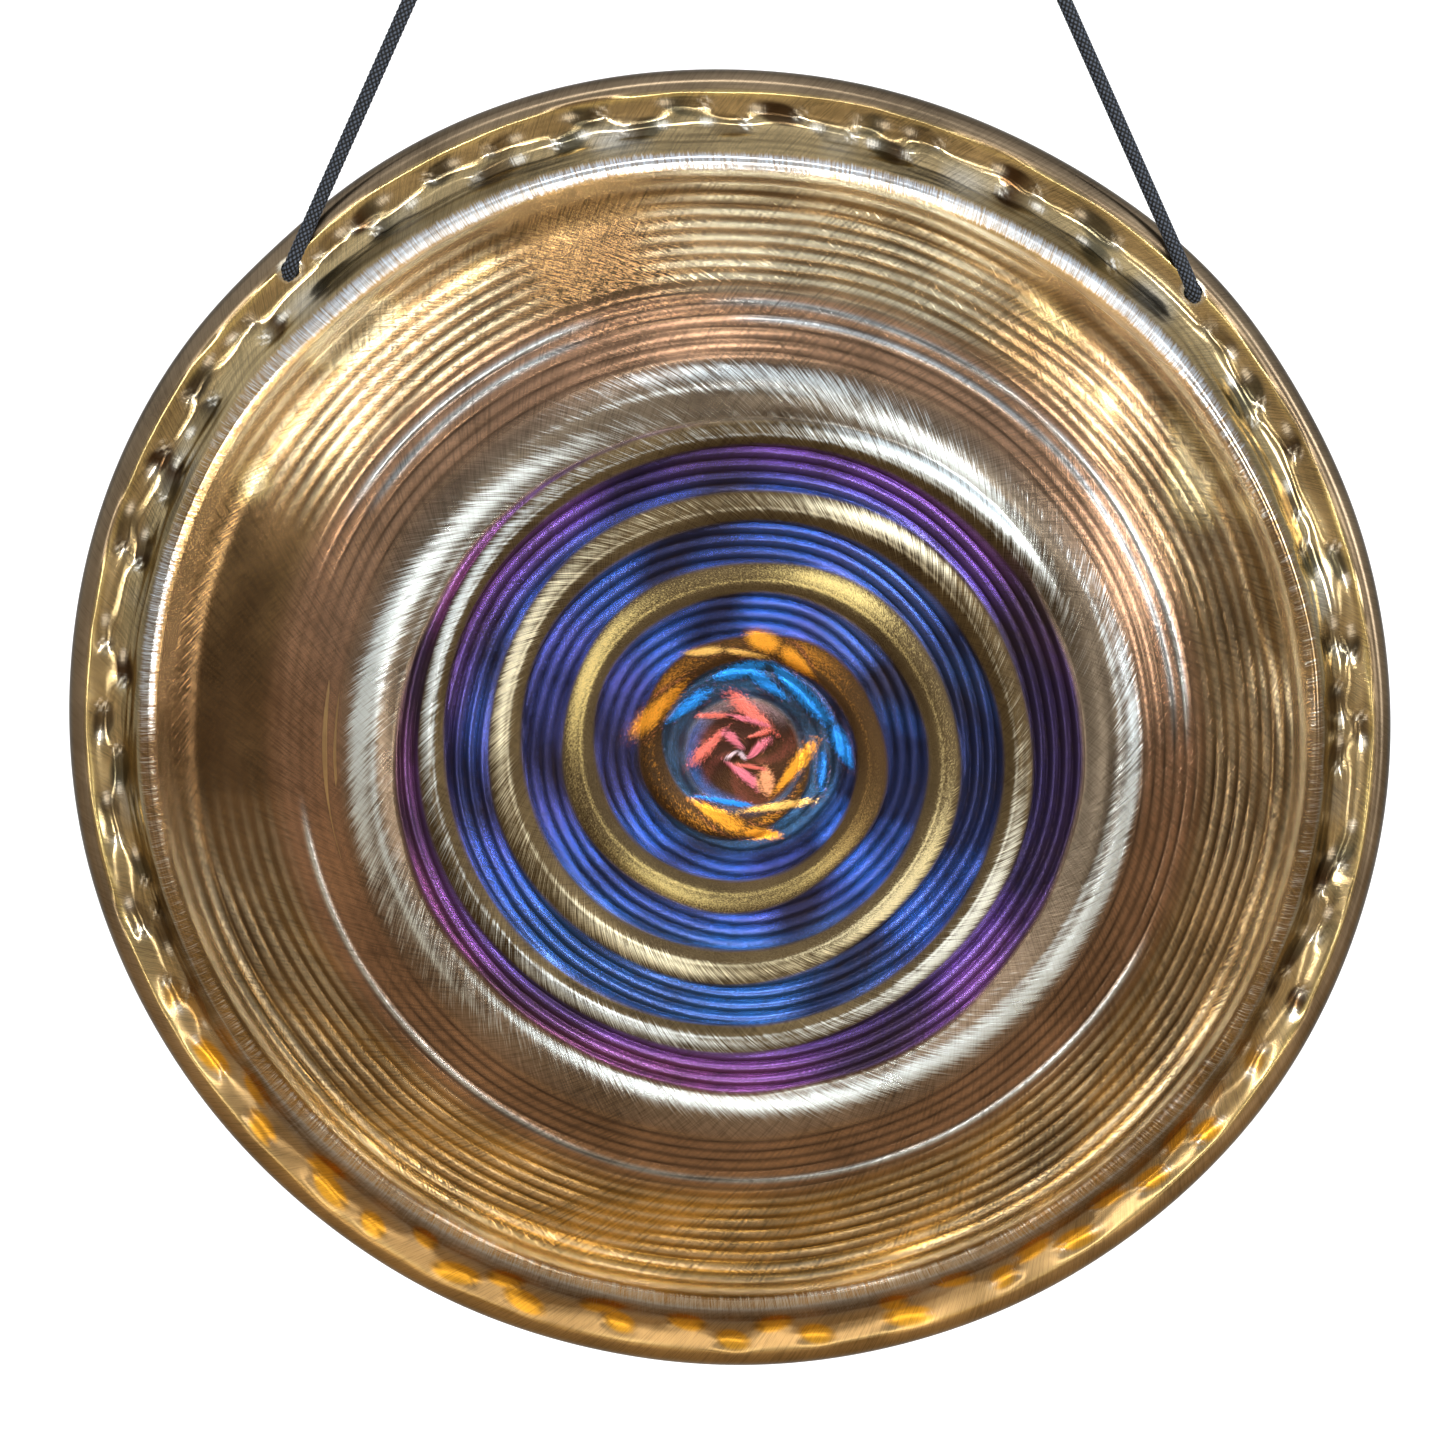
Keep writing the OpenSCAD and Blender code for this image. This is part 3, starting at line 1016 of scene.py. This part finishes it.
def trough_colour(p, warm, marks, shade):
    """Brass with oval pits in painted shade, dark above and amber below, and a painted glint on the bite or
    spot of each pit above, a dark bite below.
    """
    tone = unit(0.5 + waves(p.turn, 73, (17, 29, 41), 1.0))
    # A painted silver sheen on the upper trough.
    pale = unit(waves(p.tp, 72, (13, 21, 34), 1.0) - 0.2) * bell(228, 5, p.r) * (1 - 0.8 * warm)
    pit = layers(UMBER, (DULL_GREEN, tone), (ORANGE_GOLD, smooth(0.15, 0.6, warm)))
    uneven = np.clip(0.85 + waves(p.turn, 74, (23, 37, 53), 0.8), 0.3, 1)
    low = smooth(0.3, 0.7, warm)
    # Painted warm reflection below, a painted pale highlight at the ridge's foot there, and a painted
    # highlight along the lip.
    return layers(BRASS, (LOW_BRASS, 0.95 * warm), (UMBER, 0.5 * unit(-grain_lines(p))), (SILVER, 0.5 * pale),
                  (BEIGE, 0.75 * bell(225, 4.5, p.r) * warm),
                  (pit, unit(shade) * (uneven * (1 - low) + 0.9 * low)),
                  (YELLOW, 0.7 * lip_bell(p, 242.2, 1.2) * (1 - 0.8 * warm)),
                  (UMBER, 0.7 * warm * unit(marks)), (WHITE_GOLD, unit(marks) * (1 - warm)))


def core_colour(p):
    """Dark wine red in the middle, with some pink and blue round its rim."""
    red = unit(waves(p.tp - 3 * p.rp, 81, (3, 5, 7), 1.0)) * smooth(2, 7, p.rp)
    rim = smooth(15, 20, p.rp)
    return layers(WINE, (ARM_RUST, 0.5 * sector(p.tp, 300, 60, 40)), (CORAL, 0.16 * red),
                  (PALE_PINK, 0.3 * rim * sector(p.tp, 95, 40, 30)),
                  (BRIGHT_BLUE, 0.5 * rim * sector(p.tp, 200, 40, 40)))


def hole_rim_glint(p):
    """A painted glint round each cord hole."""
    return 1 - smooth(HOLE_RADIUS + 0.7, HOLE_RADIUS + 1.5, hole_away(p.r, p.turn))


def face_colour(p, marks, shade):
    warm = warm_reflection_share(p)
    arm_ground = layers(ARM_BROWN, (ARM_RUST, smooth(2.6, 3.1, p.wound)))
    # Painted highlights round the cord holes and on the crests of the bow's lines, and a painted warm
    # reflection on the rolled edge.
    colour = layers(bow_colour(p, warm), (COPPER, 0.85 * p.copper), (ring_ground(p), p.silver),
                    (tinted_colour(p), p.tinted), (arm_ground, unit(1.15 * p.arm)), (core_colour(p), p.core),
                    (trough_colour(p, warm, marks, shade), p.trough),
                    (layers(EDGE_BROWN, (AMBER_REFLECTION, 0.5 * warm)), p.edge), (WHITE_GOLD, hole_rim_glint(p)),
                    (SILVER, 0.85 * unit(line_rings(p))), (CREAM, 0.7 * unit(line_crest_highlight(p))))
    # Painted shade in the valleys of the turned lines.
    return colour * (1 - 0.88 * unit(line_shade(p)))[..., None]


def beside_holes(p):
    """The dull stretch of the ridge on the inner side of each cord hole."""
    return sectors(p.turn, [(1, hole - 9 * np.sign(hole - 90), 9, 9) for hole in HOLES]) * bell(220, 7, p.r)


ARMS_END = 140


def paint_gong(gong, p, marks, shade, used):
    """Colour, painted highlight, roughness, brushing and its direction at each point of the mesh."""
    warm = warm_reflection_share(p)
    brushed = unit(p.arm + 0.75 * p.silver + 0.45 * p.ridge * ridge_light(p) + 0.4 * p.tinted
                   + 0.35 * p.copper + 0.8 * p.core)
    brushed = np.maximum(brushed * (1 - p.edge), 0.12 + 0.20 * p.bow)
    rough = (0.13 + 0.20 * brushed * (1 - p.bow) + 0.02 * p.bow + 0.14 * p.edge
             + 0.20 * warm * (p.trough + 0.6 * p.edge) + 0.24 * warm * bell(222, 5, p.r)
             + 0.26 * beside_holes(p))
    streak, streak_colour = streaks(p)
    # Painted pale highlight at the foot of the ridge in the lower part.
    low_ridge_highlight = warm * bell(222, 4.5, p.rw)
    # A painted glint on the bites and spots of the upper pits.
    bite_glint = unit(marks) * (1 - warm) * p.trough
    # Painted highlight along the ridge, raised in the lower part.
    ridge = 0.9 * p.ridge * np.maximum(ridge_light(p), 0.7 * warm)
    # The share of painted highlight: the spiral's, the silver ring's and the ridge's, with the straight
    # streaks and the pits' glints.
    highlight_and_streak = unit(arm_highlight(p) * (p.rp < ARMS_END) + ring_highlight(p) + ridge) * (1 - smooth(0, 0.4, streak))
    highlight_and_streak = np.maximum.reduce([highlight_and_streak, streak, 0.75 * low_ridge_highlight, bite_glint])
    highlight_and_streak_colour = layers(arm_highlight_colour(p), (SILVER, p.silver), (STEEL_BLUE, smooth(205, 212, p.rp)),
                         (BEIGE, smooth(0.05, 0.4, low_ridge_highlight)), (streak_colour, smooth(0, 0.15, streak)),
                         (WHITE_GOLD, smooth(0, 0.2, bite_glint)))
    for name, colour in (("paint", face_colour(p, marks, shade)), ("highlight_and_streak_paint", highlight_and_streak_colour)):
        store(gong, name, np.insert(colour.reshape(-1, 3)[used], 3, 1, axis=1))
    for name, value in (("highlight_and_streak", highlight_and_streak), ("brushed", brushed), ("rough", rough),
                        ("swirl", swirl(p, brush_lean)), ("cross", swirl(p, hair_lean)),
                        ("stroke", stroke_direction(p))):
        store(gong, name, value.reshape(-1, *value.shape[2:])[used])


# The straight polished streaks of the middle, from its centre: start, end, widths there and colour
STREAKS = (((-6, 23), (13, 7.5), 6.0, 2.0, CORAL), ((-18, 14), (-4, 14.8), 2.0, 1.4, CORAL),
           ((-5, 14.6), (9, 11), 1.5, 1.0, PINK), ((-5, 11), (-20, -5), 1.4, 5.0, CORAL),
           ((-7.5, -2.3), (9, -14), 1.4, 4.0, PINK), ((1.2, -2.3), (10.5, 6.5), 1.2, 3.6, PINK),
           ((-7, 8.5), (0.6, 1.6), 3.4, 1.4, PINK), ((-6.4, -2.3), (-1.6, 1.2), 1.4, 1.0, PALE_PINK),
           ((-1.4, 0.8), (1.2, -2.4), 1.8, 1.0, PALE_PINK), ((1.4, 6.2), (11, 9.2), 0.8, 2.6, CORAL),
           ((8, -4), (10.5, -16), 3.5, 4.5, PEACH), ((-3, -4), (8, -5.6), 1.0, 1.6, CORAL),
           ((11.5, -16), (27.5, 6), 1.6, 5.5, ORANGE),
           ((-29.5, 11), (-13, 24.5), 2.5, 4.5, BRIGHT_BLUE), ((-12, 28.5), (8, 35), 3.0, 5.0, BRIGHT_BLUE),
           ((0, 33), (16, 21.5), 4.0, 2.6, BRIGHT_BLUE), ((9, 36), (33, 12), 3.0, 5.5, BRIGHT_BLUE),
           ((33, 12), (41, -4), 5.5, 3.0, BRIGHT_BLUE), ((30, 2), (30, -14), 3.0, 2.5, SKY),
           ((-18, -17), (8, -20.5), 2.0, 1.6, BRIGHT_BLUE),
           ((0, 46), (13, 41), 5.0, 6.0, ORANGE), ((13, 41), (26, 30), 6.0, 2.0, ORANGE),
           ((-23, 38), (-8, 40), 1.6, 2.6, GOLDEN), ((-8, 40), (9, 37), 2.2, 1.4, GOLDEN),
           ((-42, 6), (-21, 28), 6.5, 3.0, ORANGE), ((-20, -17.5), (2, -30), 1.6, 6.5, ORANGE),
           ((0, -30), (16, -31), 4.0, 2.6, ORANGE), ((-1, -22.5), (28, -17), 1.6, 2.8, GOLDEN))


STREAKS_END = 58


def streaks(p):
    """How bright the straight streaks are at each point, and their colour."""
    rows = p.r[:, 0] < STREAKS_END
    x, y = polar(p.rp[rows], p.tp[rows])
    share, colour = np.zeros(x.shape), CORAL
    for start, end, wide_start, wide_end, tint in STREAKS:
        dx, dy = end[0] - start[0], end[1] - start[1]
        size = math.hypot(dx, dy)
        along = ((x - start[0]) * dx + (y - start[1]) * dy) / size ** 2
        off = ((x - start[0]) * dy - (y - start[1]) * dx) / size
        wide = wide_start + (wide_end - wide_start) * unit(along)
        wide = wide * (0.78 + 0.3 * np.sin(np.pi * unit((along + 0.2) / 1.4)))
        one = 1.2 * bell(0, wide * 0.62, off) * smooth(-0.25, 0.40, along) * (1 - smooth(0.55, 1.28, along))
        colour = layers(colour, (tint, smooth(0.02, 0.3, one)))
        share = np.maximum(share, unit(one))
    all_share, all_colour = np.zeros_like(p.r), np.tile(CORAL, p.r.shape + (1,))
    all_share[rows], all_colour[rows] = share, colour
    return all_share, all_colour


BRUSH_LEAN = 47


def brush_lean(r):
    """How far the brush strokes lean from the radius, in degrees. At the ridge they hardly lean."""
    return BRUSH_LEAN + 10 * smooth(150, 175, r) - 51 * smooth(212, 217, r)


def hair_lean(r):
    """The lean of the fine hairs that cross the strokes."""
    return np.full_like(r, -38)


def swirl(p, lean):
    """Seamless coordinates that stay the same along strokes which lean from the radius by lean(r)."""
    radii = np.linspace(2, 1.1 * GONG_R, 1200)
    wound = np.cumsum(np.tan(np.radians(lean(radii))) / radii) * (radii[1] - radii[0])
    turn = np.radians(p.tp) - np.interp(p.rp, radii, wound)
    wide = np.clip(p.rp / 80, 0.1, 1) * (0.45 + 0.55 * smooth(35, 60, p.rp))
    wide = wide * (1 + 1.4 * smooth(210, 215, p.rp))
    return np.stack([wide * np.cos(turn), wide * np.sin(turn), p.rp / 100], axis=-1)


def stroke_direction(p):
    """The direction square to the brush strokes, along which the shine spreads."""
    lean = (BRUSH_LEAN * (1 - p.ridge) * unit(p.arm + p.silver + p.tinted * 0.6 + p.core)
            + 90 * unit(p.copper + p.bow) * (1 - p.silver))
    across, up = polar(1, p.tp + lean + 90)
    return np.stack([across, up, np.zeros_like(up)], axis=-1)


# ---------------------------------------------------------------- materials

class Nodes:
    """Builds the node tree of one material or world."""

    def __init__(self, owner):
        self.owner = owner
        owner.use_nodes = True
        self.tree = owner.node_tree
        self.tree.nodes.clear()

    def node(self, kind, inputs=None, **settings):
        """A shader node with its settings and inputs: each input is a number, a colour or a socket."""
        made = self.tree.nodes.new("ShaderNode" + kind)
        for name, value in settings.items():
            setattr(made, name, value)
        for name, value in (inputs or {}).items():
            if isinstance(value, bpy.types.NodeSocket):
                self.tree.links.new(value, made.inputs[name])
            else:
                made.inputs[name].default_value = value
        return made

    def maths(self, operation, a, b=0.0, clamp=False):
        return self.node("Math", {0: a, 1: b}, operation=operation, use_clamp=clamp).outputs[0]

    def times(self, a, b):
        return self.maths("MULTIPLY", a, b)

    def plus(self, a, b, share, clamp=False):
        """a and a share of b."""
        return self.maths("ADD", a, self.times(b, share), clamp)

    def remap(self, value, low, high, to_low=0.0, to_high=1.0):
        return self.node("MapRange", {"Value": value, "From Min": low, "From Max": high,
                                      "To Min": to_low, "To Max": to_high}).outputs[0]

    def mix(self, share, a, b):
        return self.node("Mix", {0: share, 6: a, 7: b}, data_type="RGBA").outputs[2]

    def scaled(self, vector, by):
        return self.node("VectorMath", {0: vector, 1: by}, operation="MULTIPLY").outputs[0]

    def attribute(self, name, output="Fac"):
        return self.node("Attribute", attribute_name=name).outputs[output]

    def place(self):
        return self.node("TexCoord").outputs["Object"]

    def noise(self, vector, scale, detail=2.0, rough=0.5):
        return self.node("TexNoise", {"Vector": vector, "Scale": scale, "Detail": detail,
                                      "Roughness": rough}).outputs["Fac"]

    def ramp(self, value, *stops):
        """Colours by value: each stop is a position and a colour."""
        made = self.node("ValToRGB", {"Fac": value})
        elements = made.color_ramp.elements
        while len(elements) < len(stops):
            elements.new(0.5)
        for element, (position, colour) in zip(elements, stops):
            element.position = position
            element.color = (*colour, 1)
        return made.outputs[0]

    def surface(self, inputs, *bump):
        """Gives the material its shader, over a bump with a height, a strength and a distance."""
        if bump:
            shape = dict(zip(("Height", "Strength", "Distance"), bump))
            inputs["Normal"] = self.node("Bump", shape).outputs[0]
        shader = self.node("BsdfPrincipled", inputs)
        self.node("OutputMaterial", {"Surface": shader.outputs[0]})
        return self.owner


def new_material(name):
    return Nodes(bpy.data.materials.new(name))


GRIME = (0.03, 0.02, 0.012, 1)


def gong_material():
    """Spun bronze with brushed, heat-tinted and hammered work, all told apart by the mesh's own data, with a
    painted highlight laid over it.
    """
    n = new_material("spun_bronze")
    swirl_at, cross_at, place = n.attribute("swirl", "Vector"), n.attribute("cross", "Vector"), n.place()
    brushed, highlight_and_streak = n.attribute("brushed"), n.attribute("highlight_and_streak")
    wide = n.noise(n.scaled(swirl_at, (150, 150, 10)), 1.0, 1.5)
    thin = n.noise(n.scaled(swirl_at, (400, 400, 19)), 1.0)
    hair = n.noise(n.scaled(cross_at, (230, 230, 13)), 1.0, 1.5)
    cloud = n.noise(place, 26.0, 3.0)
    fleck = n.noise(place, 900.0, 1.0)
    strokes = n.remap(n.plus(n.times(wide, 0.45), thin, 0.55), 0.34, 0.66)
    ragged = n.plus(highlight_and_streak, n.maths("SUBTRACT", strokes, 0.5), 0.75)
    # Where the painted highlight covers the paint, the darkening is weaker.
    over = n.times(n.remap(ragged, 0.22, 0.85), n.remap(highlight_and_streak, 0.0, 0.12))
    dim = n.times(n.maths("SUBTRACT", 1.0, strokes), n.times(brushed, 0.52))
    dim = n.plus(dim, n.remap(hair, 0.36, 0.54, 1.0, 0.0), 0.24)
    dim = n.plus(dim, n.remap(cloud, 0.38, 0.62, 1.0, 0.0), 0.30, clamp=True)
    dim = n.times(dim, n.remap(over, 0.0, 1.0, 1.0, 0.4))
    paint = n.mix(over, n.attribute("paint", "Color"), n.attribute("highlight_and_streak_paint", "Color"))
    rough = n.plus(n.attribute("rough"), n.remap(cloud, 0.3, 0.7, -1.0, 1.0), 0.03)
    relief = n.plus(n.plus(n.times(strokes, brushed), hair, 0.09), fleck, 0.03)
    turned = n.node("VectorTransform", {"Vector": n.attribute("stroke", "Vector")}, vector_type="VECTOR",
                    convert_from="OBJECT", convert_to="WORLD").outputs[0]
    return n.surface({"Base Color": n.mix(dim, paint, GRIME), "Roughness": rough, "Metallic": 1.0,
                      "Anisotropic": 0.7, "Tangent": turned}, relief, 0.5, 0.0002)


def gong_back_material():
    """The back: darker bronze with turning lines and a cloudy patina."""
    n = new_material("bronze_back")
    place = n.place()
    parts = n.node("SeparateXYZ", {"Vector": place}).outputs
    flat = n.node("CombineXYZ", {"X": parts[0], "Y": parts[1]}).outputs[0]
    radius = n.node("VectorMath", {0: flat}, operation="LENGTH").outputs["Value"]
    lines = n.noise(n.node("CombineXYZ", {"X": radius}).outputs[0], 520.0, 4.0, 0.7)
    cloud = n.noise(place, 22.0, 6.0, 0.65)
    hammer = n.node("TexVoronoi", {"Vector": place, "Scale": 46.0, "Smoothness": 0.6},
                    feature="SMOOTH_F1").outputs["Distance"]
    patina = n.ramp(cloud, (0.30, (0.30, 0.18, 0.085)), (0.70, (0.66, 0.46, 0.22)))
    colour = n.mix(n.remap(lines, 0.36, 0.60, 0.55, 0.0), patina, (0.06, 0.035, 0.02, 1))
    rough = n.remap(cloud, 0.3, 0.7, 0.40, 0.22)
    return n.surface({"Base Color": colour, "Roughness": rough, "Metallic": 1.0},
                     n.plus(n.times(lines, 0.35), hammer, 2.2), 0.6, 0.0006)


def cord_material():
    """Charcoal nylon braid: each strand is a bundle of fine threads, with painted shade between the strands
    and a painted soft blue-grey shine on their crowns.
    """
    n = new_material("braided_nylon")
    threads = n.noise(n.place(), 2600.0)
    # Painted shade down between the strands, and a painted blue-grey sheen on their crowns.
    tone = n.remap(n.plus(n.attribute("strand_high"), threads, 0.3), 0.62, 1.15)
    colour = n.ramp(tone, (0, (0.001, 0.0012, 0.0015)), (1, (0.085, 0.105, 0.14)))
    return n.surface({"Base Color": colour, "Roughness": n.remap(threads, 0.3, 0.7, 0.48, 0.66),
                      "Specular IOR Level": 0.3, "Sheen Weight": 0.02}, threads, 0.5, 0.0001)


def burnt_material():
    """Melted nylon: nearly black, smooth and uneven."""
    n = new_material("melted_nylon")
    cloud = n.noise(n.place(), 700.0, 3.0)
    colour = n.ramp(cloud, (0, (0.006, 0.006, 0.007)), (1, (0.045, 0.038, 0.032)))
    return n.surface({"Base Color": colour, "Roughness": n.remap(cloud, 0.3, 0.7, 0.18, 0.45)},
                     cloud, 0.6, 0.0003)


def steel_material():
    """Drawn steel wire, with a fine grain and a few duller patches."""
    n = new_material("drawn_steel")
    place = n.place()
    grain, cloud = n.noise(place, 1500.0, 3.0), n.noise(place, 160.0, 3.0)
    colour = n.mix(n.remap(cloud, 0.35, 0.7, 0.0, 0.5), (0.72, 0.73, 0.75, 1), (0.36, 0.36, 0.38, 1))
    rough = n.remap(cloud, 0.3, 0.7, 0.18, 0.38)
    return n.surface({"Base Color": colour, "Roughness": rough, "Metallic": 1.0},
                     grain, 0.25, 0.0001)


def floor_material():
    n = new_material("pale_floor")
    grain = n.remap(n.noise(n.place(), 3.0, 3.0), 0.3, 0.7)
    colour = n.mix(grain, (0.90, 0.90, 0.90, 1), (0.93, 0.93, 0.93, 1))
    return n.surface({"Base Color": colour, "Emission Color": colour, "Emission Strength": 0.35,
                      "Roughness": 0.9})


# ---------------------------------------------------------------- studio

# The room's colour by height, from straight down at 0 to straight up at 1
ROOM = ((0.0, (0.36, 0.30, 0.23)), (0.30, (0.42, 0.34, 0.25)), (0.40, (0.36, 0.30, 0.24)),
        (0.47, (0.48, 0.45, 0.41)), (0.56, (0.50, 0.50, 0.49)), (0.75, (0.66, 0.67, 0.69)),
        (1.0, (0.6, 0.6, 0.62)))
WINDOW_LOW = 0.193


def make_world():
    """A pale studio: white behind the object, a dim warm room with bright patches before it."""
    world = bpy.data.worlds.new("studio")
    bpy.context.scene.world = world
    n = Nodes(world)
    way = n.node("TexCoord").outputs["Generated"]
    across, depth, up = n.node("SeparateXYZ", {"Vector": way}).outputs
    patches = n.remap(n.noise(way, 13.0, 3.5, 0.6), 0.40, 0.62, 0.2, 2.3)
    room = n.scaled(n.ramp(n.remap(up, -1, 1), *ROOM), patches)
    rear = n.scaled((0.42, 0.43, 0.44), n.remap(patches, 0.2, 2.3, 0.55, 1.35))
    seen = n.mix(n.remap(depth, -0.15, 0.25), room, rear)
    aside = n.maths("ABSOLUTE", across)
    above = n.maths("ABSOLUTE", n.maths("ADD", up, WINDOW_LOW))
    window = n.times(n.remap(aside, 0.030, 0.048, 1.0, 0.0), n.remap(above, 0.024, 0.040, 1.0, 0.0))
    window = n.times(window, n.remap(depth, -0.9, -0.8, 1.0, 0.0))
    seen = n.mix(window, seen, (11.0, 10.6, 9.8, 1))
    lit_room = n.node("Background", {"Color": seen, "Strength": 1.35}).outputs[0]
    plain = n.node("Background", {"Color": (1, 1, 1, 1), "Strength": 1.0}).outputs[0]
    seen_by = n.node("LightPath").outputs["Is Camera Ray"]
    both = n.node("MixShader", {0: seen_by, 1: lit_room, 2: plain})
    n.node("OutputWorld", {"Surface": both.outputs[0]})


# Places and sizes of the lights are in metres
LIGHT_AIM = Vector((0, 0, -0.36))
WINDOW_COLOUR = (1.0, 0.98, 0.94)


def area_light(name, at, size, power, colour=(1, 1, 1)):
    light = bpy.data.lights.new(name, "AREA")
    light.shape = "RECTANGLE"
    light.size, light.size_y = size
    light.energy = power
    light.color = colour
    made = bpy.data.objects.new(name, light)
    made.location = at
    made.rotation_euler = (LIGHT_AIM - Vector(at)).to_track_quat("-Z", "Y").to_euler()
    made.visible_camera = False
    bpy.context.scene.collection.objects.link(made)


def make_lights():
    area_light("key_above", (-0.1, -1.15, 0.75), (0.4, 0.2), 4)
    area_light("side_right", (1.15, -1.0, -0.15), (0.25, 0.5), 7, (0.95, 0.97, 1.0))
    area_light("window_left", (-0.37, -1.9, -0.36), (0.16, 0.16), 5, WINDOW_COLOUR)
    area_light("window_right", (0.63, -1.9, -0.29), (0.13, 0.15), 5, WINDOW_COLOUR)


FLOOR_HALF, FLOOR_BACK, FLOOR_BEND = 6.0, 3.0, 1.2


def make_floor():
    """A pale floor that curves up behind into a backdrop. It is laid out in metres."""
    half, back, bend = FLOOR_HALF, FLOOR_BACK, FLOOR_BEND
    line = [(-half, 0.0)] + [(y, 0.0) for y in np.linspace(-half * 0.8, back - bend, 12)]
    line += [(back - bend + bend * math.sin(a), bend - bend * math.cos(a))
             for a in np.radians(np.linspace(8, 90, 12))]
    line += [(back, bend + rise) for rise in (0.6, 1.6, 3.2, 5.0)]
    across = np.linspace(-half, half, 9)
    points = [[x / MM, y / MM, (z - FLOOR_DROP) / MM] for y, z in line for x in across]
    faces = grid_faces(len(line), len(across), closed=False).reshape(-1, 4)
    floor = new_mesh("studio_floor", points, faces)
    floor.data.materials.append(floor_material())
    floor.visible_glossy = False


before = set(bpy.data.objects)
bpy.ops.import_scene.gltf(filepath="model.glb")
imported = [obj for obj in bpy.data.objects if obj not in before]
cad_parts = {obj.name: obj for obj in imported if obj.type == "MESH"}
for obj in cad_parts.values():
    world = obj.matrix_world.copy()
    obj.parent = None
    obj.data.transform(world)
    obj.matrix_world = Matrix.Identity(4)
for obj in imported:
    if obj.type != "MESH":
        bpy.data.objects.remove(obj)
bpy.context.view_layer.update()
bpy.context.scene.view_settings.view_transform = "Standard"
make_camera()
materials = {"cord": cord_material(), "burnt": burnt_material(), "steel": steel_material(),
             "gong": gong_material(), "gong_back": gong_back_material()}
make_sling(materials)
make_gong(materials)
make_world()
make_lights()
make_floor()
